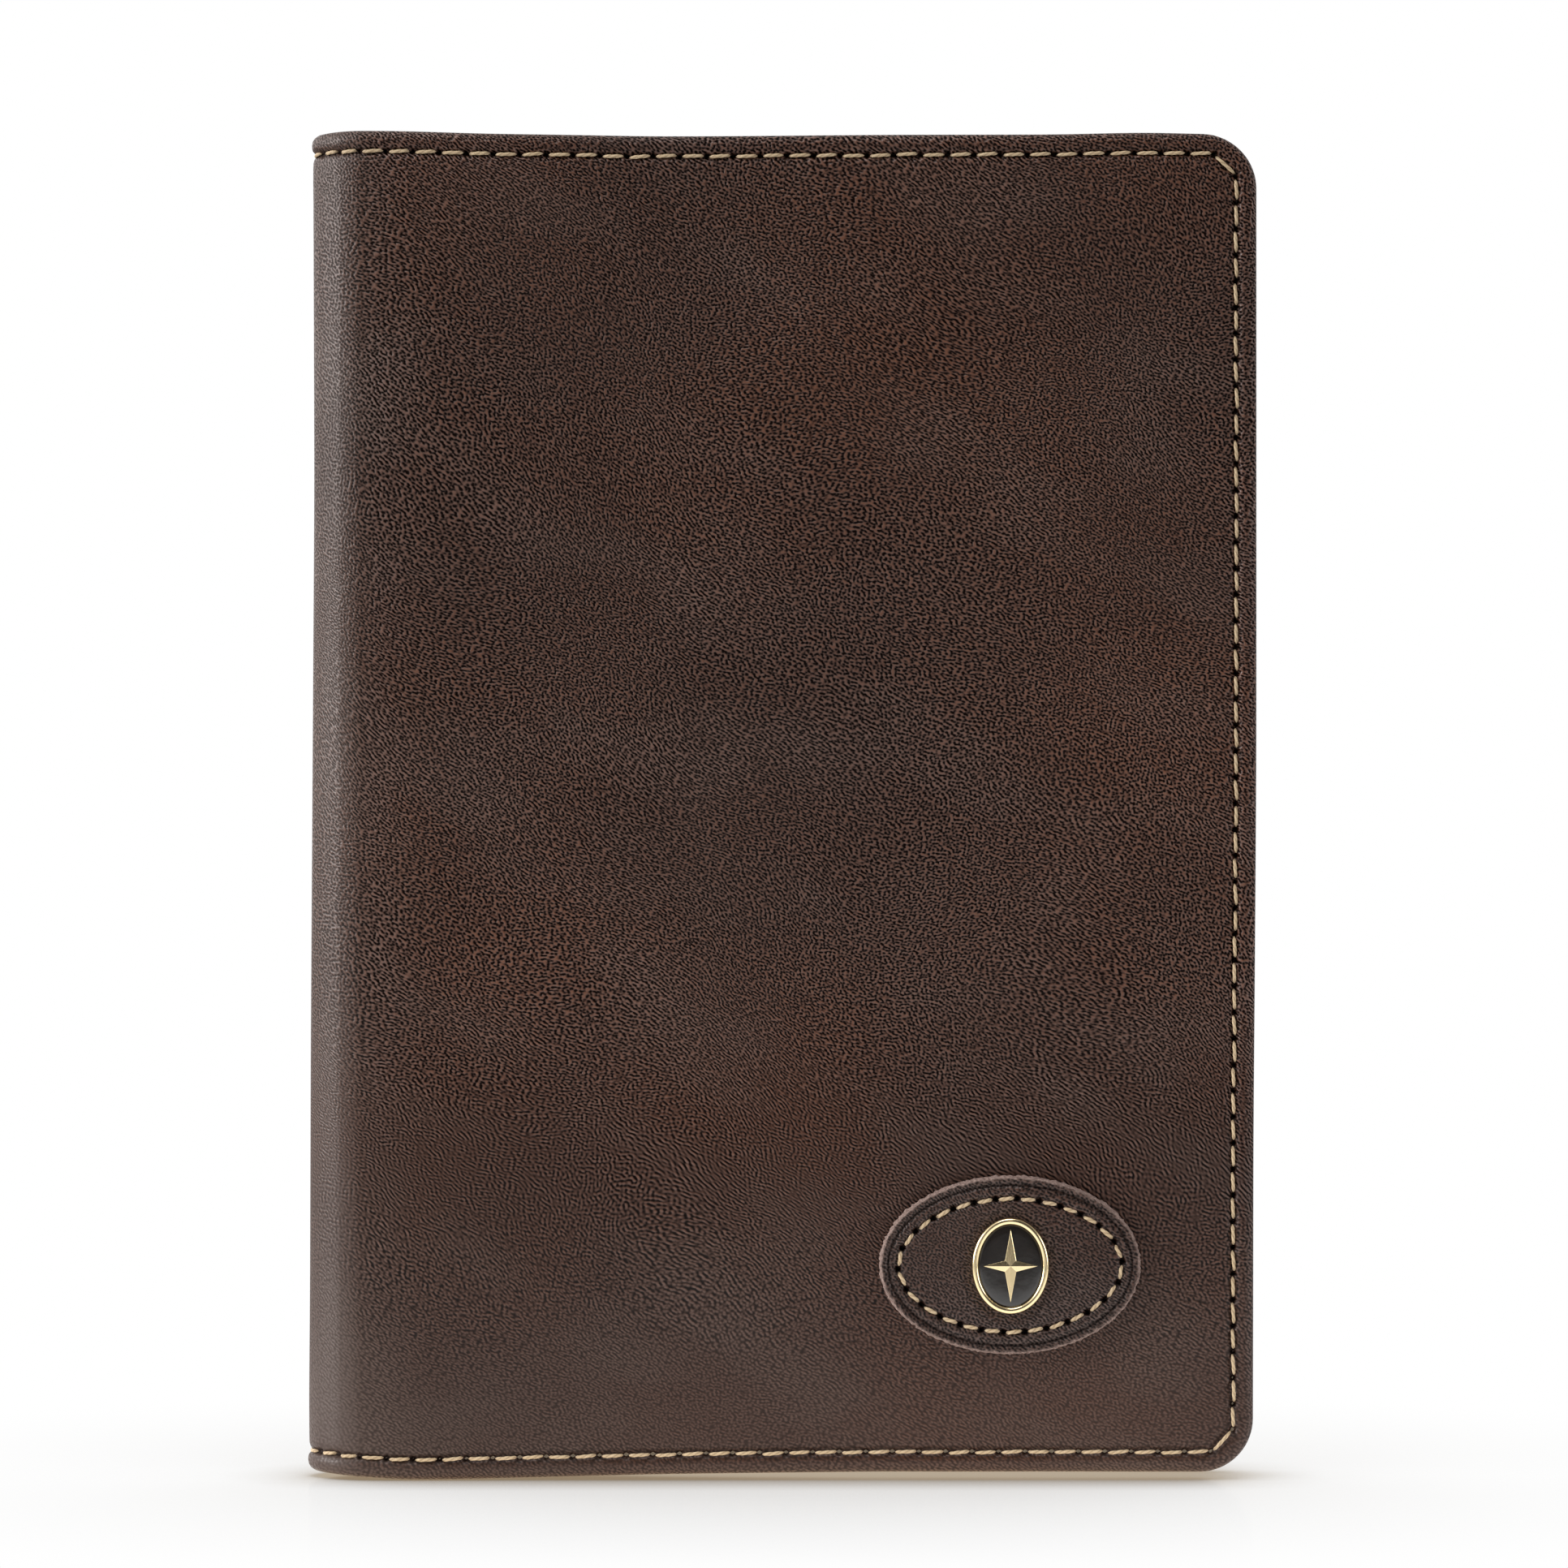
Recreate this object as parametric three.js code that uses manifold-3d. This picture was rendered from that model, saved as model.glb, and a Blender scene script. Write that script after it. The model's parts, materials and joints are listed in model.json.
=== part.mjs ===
// A bifold leather passport holder, closed and standing on its bottom edge. Millimetres, +Z up.
//
// One hide forms the front cover, the spine and the back cover, with its edges turned in round a board
// in each cover and sewn all round. The spine bends, so the hide and its lining are split there into
// strips that fold about upright axes. The front cover carries an oval badge, and card pockets inside.
// The back cover carries a sleeve for the passport.
//
// X runs across the covers from the spine to the fore edge, and the front cover faces -Y. Most sizes
// through a cover are depths, counted inwards from that cover's outer face.

import * as THREE from "three";
import { mergeVertices } from "three/addons/utils/BufferGeometryUtils.js";
import Module from "manifold-3d";

const wasm = await Module();
wasm.setup();

// ---------------------------------------------------------------- driving dimensions

const WIDTH = 100; // spine to fore edge, closed
const HEIGHT = 142;
const THICKNESS = 11; // outer face to outer face, closed
const CORNER_RADIUS = 5.7; // fore-edge corners
const CLEARANCE = 0.05; // between neighbouring layers

const HIDE = 1; // outer leather
const BOARD = 0.5; // stiffener
const TURN_IN = 0.5; // skived edge of the hide, folded inside
const TURN_IN_WIDTH = 10;
const LINING = 0.25;
const POCKET_LEATHER = 0.4;
const SLEEVE_LEATHER = 0.7;
const SLEEVE_SPACE = 0.8; // room for a passport's back cover

const SEAM_INSET = 2.2; // seam to edge
const SEAM_CHAMFER = 2.3; // the seam cuts each corner with one slanted stitch
const THREAD_WIDTH = 0.5;
const THREAD_HEIGHT = 0.3;
const GROOVE_WIDTH = 0.9;
const GROOVE_DEPTH = 0.4;
const PANEL_INSET = 1; // inner panels stop short of the cover's edge
const POCKET_START = 7.7; // spine side of the pocket panels
const POCKET_SEAM = 1.7; // pocket strips' spine-side seam, from POCKET_START
const CARD_POCKET_MOUTHS = [58, 72, 86]; // heights of the three mouths, bottom pocket first
const CARD_POCKET_OVERLAP = 14; // how far each strip runs down behind the next
const SLEEVE_START = 34; // free edge of the passport sleeve at top and bottom
const SLEEVE_SCOOP = 6; // how far that edge curves away at mid height
const SLEEVE_RIM = 3; // sewn border of the sleeve
const EDGE_ROUNDING = 0.88; // radius of the turned edges
const BOARD_START = 1.5; // spine side of a board, from where the cover is flat
const BOARD_INSET = 0.5; // the board stops short of the turned edge
const HOLLOW_INSET = 0.3; // and the hollow for it does too, by less

const BADGE = { x: 74.1, z: 22.1, halfWidth: 13.85, halfHeight: 9.45, thickness: 1.4, edge: 0.3 };
const BADGE_SEAM = { halfWidth: 11.9, halfHeight: 7.1 };
const EMBLEM = {
  halfWidth: 4.1, halfHeight: 5.1, thickness: 0.95, edge: 0.15, base: 0.5, rim: 0.7, enamel: 0.25,
};
const EMBLEM_STAR = { reachX: 2.9, reachZ: 3.9, waist: 0.85 };
const PRONG = { radius: 0.4, hole: 0.55, offset: 2.8 };
const CLINCH_PLATE = { halfWidth: 3, halfHeight: 4.2, thickness: 0.3, room: 0.3 };

const SPINE_BENDS = 4; // equal bends that share the half turn of the spine
const SPINE_GAP = 0.06; // between neighbouring spine strips, on the outer face

// ---------------------------------------------------------------- derived dimensions

const BACK = 1; // side of the middle plane: +Y
const FRONT = -1;
const SPINE_RADIUS = THICKNESS / 2; // the spine is a half round about an upright line
const SPINE_CENTRE = SPINE_RADIUS; // its X
const SPINE_START = SPINE_CENTRE; // X where the covers are flat
const BEND = Math.PI / SPINE_BENDS;
const GAP_ANGLE = SPINE_GAP / 2 / SPINE_RADIUS;

const BOARD_DEPTH = HIDE + CLEARANCE;
const TURN_IN_DEPTH = HIDE + BOARD + 2 * CLEARANCE;
const COVER_DEPTH = TURN_IN_DEPTH + TURN_IN;
const LINING_DEPTH = COVER_DEPTH + CLEARANCE;
const PANEL_DEPTH = LINING_DEPTH + LINING + CLEARANCE;
const POCKET_STEP = POCKET_LEATHER + CLEARANCE;
const SLEEVE_DEPTH = LINING_DEPTH + LINING + SLEEVE_SPACE;
const SURFACE_THREAD_HEIGHT = 0.25; // thread that lies on a surface, with no groove
const SURFACE_THREAD_LIFT = 0.02;
const THREAD_STEP = 0.3; // length of thread that drops past the edge of a raised surface

const BADGE_PROUD = BADGE.thickness + CLEARANCE;
const PROUD = BADGE_PROUD + EMBLEM.thickness; // how far the badge stands out of the front face
const FAR = 50; // past every face
const CURVE_SEGMENTS = 8;
const OVAL_SEGMENTS = 48;

// ---------------------------------------------------------------- solids

// A closed geometry as a manifold-3d solid.
function solid(geometry) {
  const bare = geometry.clone();
  bare.deleteAttribute("normal");
  bare.deleteAttribute("uv");
  const merged = mergeVertices(bare, 1e-4);
  return new wasm.Manifold(
    new wasm.Mesh({
      numProp: 3,
      vertProperties: merged.attributes.position.array,
      triVerts: new Uint32Array(merged.index.array),
    }),
  );
}

function geometryOf(manifold) {
  const mesh = manifold.getMesh();
  return new THREE.BufferGeometry()
    .setAttribute("position", new THREE.BufferAttribute(mesh.vertProperties, 3))
    .setIndex(new THREE.BufferAttribute(mesh.triVerts, 1));
}

// A flat plate: an outline drawn in X and Z, spanning two depths of a cover. A rounded edge stays
// inside the outline.
function plate(side, shape, fromDepth, toDepth, edgeRadius = 0) {
  const depth = toDepth - fromDepth;
  const geometry = new THREE.ExtrudeGeometry(shape, {
    depth: depth - 2 * edgeRadius,
    curveSegments: CURVE_SEGMENTS,
    bevelEnabled: edgeRadius > 0,
    bevelThickness: edgeRadius,
    bevelSize: edgeRadius,
    bevelOffset: -edgeRadius,
    bevelSegments: 3,
  });
  // Turned so that the outline's second coordinate is Z, the plate lies on the -Y side of y = 0.
  geometry.translate(0, 0, edgeRadius).rotateX(Math.PI / 2);
  const farFace = side === BACK ? SPINE_RADIUS - fromDepth : toDepth - SPINE_RADIUS;
  return solid(geometry.translate(0, farFace, 0));
}

// A block given by its lowest and highest corners.
function block(low, high) {
  const size = new THREE.Vector3().subVectors(high, low);
  const geometry = new THREE.BoxGeometry(size.x, size.y, size.z);
  return solid(geometry.translate(...new THREE.Vector3().addVectors(low, high).divideScalar(2)));
}

// All the space between two depths of the front cover.
function frontSlab(fromDepth, toDepth) {
  const [from, to] = [fromDepth, toDepth].map((depth) => depth - SPINE_RADIUS);
  return block(new THREE.Vector3(0, from, 0), new THREE.Vector3(WIDTH, to, HEIGHT));
}

// An upright strip of the spine between two depths. Angle 0 is where the spine leaves the back
// cover, and half a turn is where it meets the front cover.
function spineStrip(fromDepth, toDepth, fromAngle, toAngle, low, high) {
  const outer = SPINE_RADIUS - fromDepth;
  const inner = SPINE_RADIUS - toDepth;
  const start = Math.PI / 2 + fromAngle;
  const end = Math.PI / 2 + toAngle;
  const shape = new THREE.Shape()
    .absarc(SPINE_CENTRE, 0, outer, start, end, false)
    .absarc(SPINE_CENTRE, 0, inner, end, start, true);
  const options = { depth: high - low, curveSegments: CURVE_SEGMENTS, bevelEnabled: false };
  return solid(new THREE.ExtrudeGeometry(shape, options).translate(0, 0, low));
}

// A round pin along Y between two depths of the front cover.
function pin(radius, x, z, fromDepth, toDepth) {
  const geometry = new THREE.CylinderGeometry(radius, radius, toDepth - fromDepth, 16);
  return solid(geometry.translate(x, (fromDepth + toDepth) / 2 - SPINE_RADIUS, z));
}

// ---------------------------------------------------------------- outlines in X and Z

function rectangle(left, right, low, high) {
  return new THREE.Shape().moveTo(left, low).lineTo(right, low).lineTo(right, high).lineTo(left, high);
}

// A cover or panel from x = left to the fore edge, inset from the cover's outline.
function coverOutline(left, inset) {
  const right = WIDTH - inset;
  const low = inset;
  const high = HEIGHT - inset;
  const radius = CORNER_RADIUS - inset;
  if (radius <= 0) return rectangle(left, right, low, high);
  return new THREE.Shape()
    .moveTo(left, low)
    .lineTo(right - radius, low)
    .absarc(right - radius, low + radius, radius, -Math.PI / 2, 0, false)
    .lineTo(right, high - radius)
    .absarc(right - radius, high - radius, radius, 0, Math.PI / 2, false)
    .lineTo(left, high);
}

// The path of the perimeter seam: along the top, down the fore edge, back along the bottom.
function seamPath() {
  const right = WIDTH - SEAM_INSET;
  const high = HEIGHT - SEAM_INSET;
  return [
    [SPINE_START, high],
    [right - SEAM_CHAMFER, high],
    [right, high - SEAM_CHAMFER],
    [right, SEAM_INSET + SEAM_CHAMFER],
    [right - SEAM_CHAMFER, SEAM_INSET],
    [SPINE_START, SEAM_INSET],
  ].map(([x, z]) => new THREE.Vector2(x, z));
}

// A ribbon of even width along an open path, with mitred corners.
function ribbon(path, width) {
  const directions = path.slice(1).map((p, i) => p.clone().sub(path[i]).normalize());
  const offsets = path.map((_, i) => {
    const before = directions[Math.max(i - 1, 0)];
    const after = directions[Math.min(i, directions.length - 1)];
    const along = before.clone().add(after).normalize();
    const reach = width / 2 / Math.max(along.dot(before), 0.1);
    return new THREE.Vector2(-along.y, along.x).multiplyScalar(reach);
  });
  const left = path.map((p, i) => p.clone().add(offsets[i]));
  const right = path.map((p, i) => p.clone().sub(offsets[i]));
  return new THREE.Shape([...left, ...right.reverse()]);
}

function oval(centreX, centreZ, halfWidth, halfHeight) {
  const curve = new THREE.EllipseCurve(centreX, centreZ, halfWidth, halfHeight);
  return new THREE.Shape(curve.getPoints(OVAL_SEGMENTS).slice(0, -1));
}

// A four-pointed star. grow widens it on every side.
function star(centreX, centreZ, { reachX, reachZ, waist }, grow) {
  const points = [];
  for (let quarter = 0; quarter < 4; quarter++) {
    const angle = (quarter * Math.PI) / 2;
    const reach = (quarter % 2 ? reachZ : reachX) + 2 * grow;
    const inner = waist + grow;
    points.push(new THREE.Vector2(centreX + reach * Math.cos(angle), centreZ + reach * Math.sin(angle)));
    const between = angle + Math.PI / 4;
    points.push(new THREE.Vector2(centreX + inner * Math.cos(between), centreZ + inner * Math.sin(between)));
  }
  return new THREE.Shape(points);
}

// ---------------------------------------------------------------- covers and spine

// The cover's share of the bending spine: the first half bend beside it.
function spineShare(side) {
  return side === BACK ? [0, BEND / 2 - GAP_ANGLE] : [Math.PI - BEND / 2 + GAP_ANGLE, Math.PI];
}

// Spine strip number 0, 1 or 2, counted from the back cover.
function stripAngles(index) {
  const start = BEND / 2 + index * BEND;
  return [start + GAP_ANGLE, start + BEND - GAP_ANGLE];
}

// Hide over an arc of the spine, with its top and bottom edges turned in and its seam grooves.
function spineHide(fromAngle, toAngle) {
  const strip = (fromDepth, toDepth, low, high) =>
    spineStrip(fromDepth, toDepth, fromAngle, toAngle, low, high);
  let hide = strip(0, HIDE, 0, HEIGHT)
    .add(strip(HIDE, HIDE + TURN_IN, 0, TURN_IN_WIDTH))
    .add(strip(HIDE, HIDE + TURN_IN, HEIGHT - TURN_IN_WIDTH, HEIGHT));
  for (const z of [SEAM_INSET, HEIGHT - SEAM_INSET]) {
    hide = hide.subtract(strip(-1, GROOVE_DEPTH, z - GROOVE_WIDTH / 2, z + GROOVE_WIDTH / 2));
  }
  return hide;
}

// All the space beside the spine, where the covers are flat.
function flatPart() {
  return block(new THREE.Vector3(SPINE_START, -FAR, -1), new THREE.Vector3(WIDTH + 1, FAR, HEIGHT + 1));
}

// Outer leather of one cover: a skin with rounded, turned-in edges round a hollow for the board.
function coverHide(side) {
  const beyond = SPINE_START - 4;
  const skin = plate(side, coverOutline(beyond, 0), 0, COVER_DEPTH, EDGE_ROUNDING)
    .intersect(flatPart());
  const hollow = plate(side, coverOutline(beyond, HIDE + HOLLOW_INSET), HIDE, TURN_IN_DEPTH);
  const window = plate(side, coverOutline(beyond, TURN_IN_WIDTH), TURN_IN_DEPTH - 0.01, COVER_DEPTH + 1);
  const groove = plate(side, ribbon(seamPath(), GROOVE_WIDTH), -1, GROOVE_DEPTH);
  const [from, to] = spineShare(side);
  return skin.subtract(hollow).subtract(window).subtract(groove).add(spineHide(from, to));
}

function stiffener(side) {
  const outline = coverOutline(SPINE_START + BOARD_START, HIDE + BOARD_INSET);
  return plate(side, outline, BOARD_DEPTH, BOARD_DEPTH + BOARD);
}

function coverLining(side) {
  const [from, to] = spineShare(side);
  const flat = plate(side, coverOutline(SPINE_START, PANEL_INSET), LINING_DEPTH, LINING_DEPTH + LINING);
  const low = PANEL_INSET;
  const high = HEIGHT - PANEL_INSET;
  return flat.add(spineStrip(LINING_DEPTH, LINING_DEPTH + LINING, from, to, low, high));
}

// Sewing thread between two depths, over an arc of the spine.
function spineThread(fromDepth, toDepth, fromAngle, toAngle, z) {
  const half = THREAD_WIDTH / 2;
  return spineStrip(fromDepth, toDepth, fromAngle, toAngle, z - half, z + half);
}

const GROOVE_THREAD = [CLEARANCE, CLEARANCE + THREAD_HEIGHT]; // depths of thread in a groove
const INNER_THREAD_TOP = LINING_DEPTH + LINING + SURFACE_THREAD_LIFT;
const INNER_THREAD = [INNER_THREAD_TOP, INNER_THREAD_TOP + SURFACE_THREAD_HEIGHT]; // on the lining

// The parts of a cover's seam thread that lie on its share of the spine.
function spineThreadEnds(side, depths) {
  const [from, to] = spineShare(side);
  const [low, high] = [SEAM_INSET, HEIGHT - SEAM_INSET].map((z) => spineThread(...depths, from, to, z));
  return low.add(high);
}

function coverThread(side) {
  const flat = plate(side, ribbon(seamPath(), THREAD_WIDTH), ...GROOVE_THREAD);
  return flat.add(spineThreadEnds(side, GROOVE_THREAD));
}

// Thread that lies on stacked layers and steps down at their edges. Each layer reaches from its left
// edge to the fore edge and from the bottom up to its high edge, and they are listed lowest first.
function steppedThread(side, path, layers) {
  const run = (fromDepth, toDepth) => plate(side, ribbon(path, THREAD_WIDTH), fromDepth, toDepth);
  const over = ({ left, high }, margin) =>
    block(new THREE.Vector3(left - margin, -FAR, -1), new THREE.Vector3(WIDTH + 1, FAR, high + margin));
  return layers
    .map((layer, i) => {
      const top = layer.depth + SURFACE_THREAD_LIFT;
      const reach = over(layer, THREAD_STEP);
      const onLayer = run(top, top + SURFACE_THREAD_HEIGHT).intersect(reach);
      const flat = i < layers.length - 1 ? onLayer.subtract(over(layers[i + 1], CLEARANCE)) : onLayer;
      if (i === 0) return flat;
      const foot = layers[i - 1].depth + SURFACE_THREAD_LIFT;
      const drop = run(foot, top + SURFACE_THREAD_HEIGHT).intersect(reach);
      return flat.add(drop.subtract(over(layer, CLEARANCE)));
    })
    .reduce((thread, piece) => thread.add(piece));
}

// ---------------------------------------------------------------- inside

// The panel that carries the card pockets. It is sewn on three sides, so papers slip in behind it.
function slipPocketPanel() {
  return plate(FRONT, coverOutline(POCKET_START, PANEL_INSET), PANEL_DEPTH, PANEL_DEPTH + POCKET_LEATHER);
}

// Depth of the face that card pocket number index lies on. The bottom pocket, 0, is outermost.
function cardPocketDepth(index) {
  return PANEL_DEPTH + POCKET_STEP * (CARD_POCKET_MOUTHS.length - index);
}

function cardPocket(index) {
  const mouth = CARD_POCKET_MOUTHS[index];
  const low = index === 0 ? 0 : mouth - 2 * CARD_POCKET_OVERLAP;
  const depth = cardPocketDepth(index);
  const panel = plate(FRONT, coverOutline(POCKET_START, PANEL_INSET), depth, depth + POCKET_LEATHER);
  return panel.intersect(block(new THREE.Vector3(0, -FAR, low), new THREE.Vector3(WIDTH, FAR, mouth)));
}

// One layer under a line of inner thread.
function layer(depth, left, high = HEIGHT) {
  return { depth, left, high };
}

const COVER_LAYERS = [layer(LINING_DEPTH + LINING, 0)];
const POCKET_LAYERS = [
  layer(PANEL_DEPTH + POCKET_LEATHER, POCKET_START),
  ...[2, 1, 0].map((i) => layer(cardPocketDepth(i) + POCKET_LEATHER, POCKET_START, CARD_POCKET_MOUTHS[i])),
];
const SLEEVE_LAYER = layer(SLEEVE_DEPTH + SLEEVE_LEATHER, SLEEVE_START);

function innerThread(side, layers) {
  const onCover = steppedThread(side, seamPath(), [...COVER_LAYERS, ...layers]);
  return onCover.add(spineThreadEnds(side, INNER_THREAD));
}

// The line that holds a card pocket's folded mouth.
function cardPocketThread(index) {
  const z = CARD_POCKET_MOUTHS[index] - 1.6;
  const ends = [POCKET_START + POCKET_SEAM + 1, WIDTH - SEAM_INSET - 1];
  const path = ends.map((x) => new THREE.Vector2(x, z));
  const top = cardPocketDepth(index) + POCKET_LEATHER + SURFACE_THREAD_LIFT;
  return plate(FRONT, ribbon(path, THREAD_WIDTH), top, top + SURFACE_THREAD_HEIGHT);
}

// The line that closes the card pockets on the spine side.
function cardPocketSideThread() {
  const x = POCKET_START + POCKET_SEAM;
  const heights = [SEAM_INSET + 1, CARD_POCKET_MOUTHS[2] + 2];
  return steppedThread(FRONT, heights.map((z) => new THREE.Vector2(x, z)), POCKET_LAYERS);
}

// The sleeve's free edge: a shallow scoop, moved towards the fore edge by offset.
function sleeveEdge(offset, low, high) {
  const curve = new THREE.QuadraticBezierCurve(
    new THREE.Vector2(SLEEVE_START + offset, low),
    new THREE.Vector2(SLEEVE_START + offset + 2 * SLEEVE_SCOOP, HEIGHT / 2),
    new THREE.Vector2(SLEEVE_START + offset, high),
  );
  return curve.getPoints(2 * CURVE_SEGMENTS);
}

function sleeveOutline(inset) {
  const edge = sleeveEdge(0, inset, HEIGHT - inset);
  return new THREE.Shape([
    ...coverOutline(SLEEVE_START, inset).getPoints(CURVE_SEGMENTS).slice(1, -1),
    ...edge.reverse(),
  ]);
}

// A leather sleeve on the back cover. A sewn border on three sides holds it off the lining.
function passportSleeve() {
  const body = plate(BACK, sleeveOutline(PANEL_INSET), PANEL_DEPTH, SLEEVE_DEPTH + SLEEVE_LEATHER);
  const space = plate(BACK, coverOutline(SLEEVE_START - 5, PANEL_INSET + SLEEVE_RIM), 0, SLEEVE_DEPTH);
  return body.subtract(space);
}

// The line beside the sleeve's free edge.
function sleeveThread() {
  const path = sleeveEdge(2, SEAM_INSET + 1, HEIGHT - SEAM_INSET - 1);
  const top = SLEEVE_DEPTH + SLEEVE_LEATHER + SURFACE_THREAD_LIFT;
  return plate(BACK, ribbon(path, THREAD_WIDTH), top, top + SURFACE_THREAD_HEIGHT);
}

// ---------------------------------------------------------------- badge

// Two pins along the prongs of the medallion, through the whole badge.
function prongPair(radius) {
  const [upper, lower] = [1, -1].map((way) => pin(radius, BADGE.x, BADGE.z + way * PRONG.offset, -PROUD, 0));
  return upper.add(lower);
}

// A ring along the badge's seam.
function badgeSeam(width) {
  const [outer, inner] = [width / 2, -width / 2].map((grow) =>
    oval(BADGE.x, BADGE.z, BADGE_SEAM.halfWidth + grow, BADGE_SEAM.halfHeight + grow));
  outer.holes.push(inner);
  return outer;
}

// An oval leather patch with a sewing groove. A recess in its back holds the clinched prongs.
function badgePatch() {
  const { x, z, halfWidth, halfHeight, thickness } = BADGE;
  const { halfWidth: recessWidth, halfHeight: recessHeight } = CLINCH_PLATE;
  const recess = oval(x, z, recessWidth + CLINCH_PLATE.room, recessHeight + CLINCH_PLATE.room);
  const groove = badgeSeam(GROOVE_WIDTH);
  const top = -thickness - CLEARANCE / 2;
  return plate(FRONT, oval(x, z, halfWidth, halfHeight), top, -CLEARANCE / 2, BADGE.edge)
    .subtract(plate(FRONT, recess, -CLINCH_PLATE.thickness - 3 * CLEARANCE, 1))
    .subtract(plate(FRONT, groove, -PROUD, -thickness + GROOVE_DEPTH))
    .subtract(prongPair(PRONG.hole));
}

function badgeThread() {
  const top = -BADGE.thickness + CLEARANCE;
  return plate(FRONT, badgeSeam(THREAD_WIDTH), top, top + THREAD_HEIGHT);
}

// Cast plate: an oval base with a raised rim, a raised star and two prongs through the patch.
function emblemPlate() {
  const { halfWidth, halfHeight, thickness, base, rim } = EMBLEM;
  const { x, z } = BADGE;
  const bottom = -BADGE_PROUD;
  const well = oval(x, z, halfWidth - rim, halfHeight - rim);
  const prongs = prongPair(PRONG.radius).intersect(frontSlab(bottom - base / 2, -3 * CLEARANCE));
  return plate(FRONT, oval(x, z, halfWidth, halfHeight), bottom - thickness, bottom, EMBLEM.edge)
    .subtract(plate(FRONT, well, bottom - thickness - 1, bottom - base))
    .add(plate(FRONT, star(x, z, EMBLEM_STAR, 0), bottom - thickness + 0.1, bottom - base + 0.1))
    .add(prongs);
}

// Black enamel filling the plate's well round the star.
function emblemEnamel() {
  const { halfWidth, halfHeight, base, rim, enamel } = EMBLEM;
  const { x, z } = BADGE;
  const top = -BADGE_PROUD - base - CLEARANCE / 2;
  const inset = rim + CLEARANCE;
  const shape = oval(x, z, halfWidth - inset, halfHeight - inset);
  shape.holes.push(star(x, z, EMBLEM_STAR, CLEARANCE));
  return plate(FRONT, shape, top - enamel, top);
}

// Backing plate that the prongs are clinched over, in the patch's recess.
function emblemClinchPlate() {
  const { halfWidth, halfHeight, thickness } = CLINCH_PLATE;
  const shape = oval(BADGE.x, BADGE.z, halfWidth, halfHeight);
  return plate(FRONT, shape, -thickness - 2 * CLEARANCE, -2 * CLEARANCE).subtract(prongPair(PRONG.hole));
}

// ---------------------------------------------------------------- assembly

function material(hex, roughness, metalness = 0) {
  return new THREE.MeshStandardMaterial({ color: hex, roughness, metalness });
}

const MATERIALS = {
  hide: material(0x3a2823, 0.45),
  pocketLeather: material(0x35241f, 0.5),
  lining: material(0x4b3a2e, 0.9),
  board: material(0x8a7a66, 0.95),
  thread: material(0xc4a77c, 0.7),
  gold: material(0xd9b36a, 0.2, 1),
  enamel: material(0x16130f, 0.15),
};

const holder = new THREE.Group();

function place(name, manifold, look) {
  const mesh = new THREE.Mesh(geometryOf(manifold), look);
  mesh.name = name;
  holder.add(mesh);
}

for (const [word, side, layers] of [["back", BACK, [SLEEVE_LAYER]], ["front", FRONT, POCKET_LAYERS]]) {
  place(`${word}_outer_leather`, coverHide(side), MATERIALS.hide);
  place(`${word}_stiffener_board`, stiffener(side), MATERIALS.board);
  place(`${word}_lining`, coverLining(side), MATERIALS.lining);
  place(`${word}_seam_thread`, coverThread(side), MATERIALS.thread);
  place(`${word}_inner_thread`, innerThread(side, layers), MATERIALS.thread);
}

["back", "middle", "front"].forEach((word, index) => {
  const [from, to] = stripAngles(index);
  const low = PANEL_INSET;
  const high = HEIGHT - PANEL_INSET;
  const lining = spineStrip(LINING_DEPTH, LINING_DEPTH + LINING, from, to, low, high);
  place(`spine_${word}_leather`, spineHide(from, to), MATERIALS.hide);
  place(`spine_${word}_lining`, lining, MATERIALS.lining);
  for (const [end, z] of [["top", HEIGHT - SEAM_INSET], ["bottom", SEAM_INSET]]) {
    place(`spine_${word}_${end}_thread`, spineThread(...GROOVE_THREAD, from, to, z), MATERIALS.thread);
    place(`spine_${word}_${end}_inner_thread`, spineThread(...INNER_THREAD, from, to, z), MATERIALS.thread);
  }
});

place("slip_pocket_panel", slipPocketPanel(), MATERIALS.pocketLeather);
["bottom", "middle", "top"].forEach((word, index) => {
  place(`card_pocket_${word}`, cardPocket(index), MATERIALS.pocketLeather);
  place(`card_pocket_${word}_thread`, cardPocketThread(index), MATERIALS.thread);
});
place("card_pocket_side_thread", cardPocketSideThread(), MATERIALS.thread);

place("passport_sleeve", passportSleeve(), MATERIALS.pocketLeather);
place("passport_sleeve_thread", sleeveThread(), MATERIALS.thread);

place("badge_patch", badgePatch(), MATERIALS.hide);
place("badge_thread", badgeThread(), MATERIALS.thread);
place("emblem_plate", emblemPlate(), MATERIALS.gold);
place("emblem_enamel", emblemEnamel(), MATERIALS.enamel);
place("emblem_clinch_plate", emblemClinchPlate(), MATERIALS.gold);

// The origin is the middle of the bottom of the whole object's box.
holder.position.set(-WIDTH / 2, PROUD / 2, 0);

export default holder;
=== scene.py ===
"""Looks of a bifold leather passport holder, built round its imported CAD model.

The hide, its lining and their stitches are modelled on one opened sheet, in millimetres: s runs along the
outer face from the back cover's fore edge (negative) round the spine (0) to the front cover's, z is height
and depth goes inwards from the outer face. wrap() folds that sheet into the closed holder.
"""

import json
import math

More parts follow.
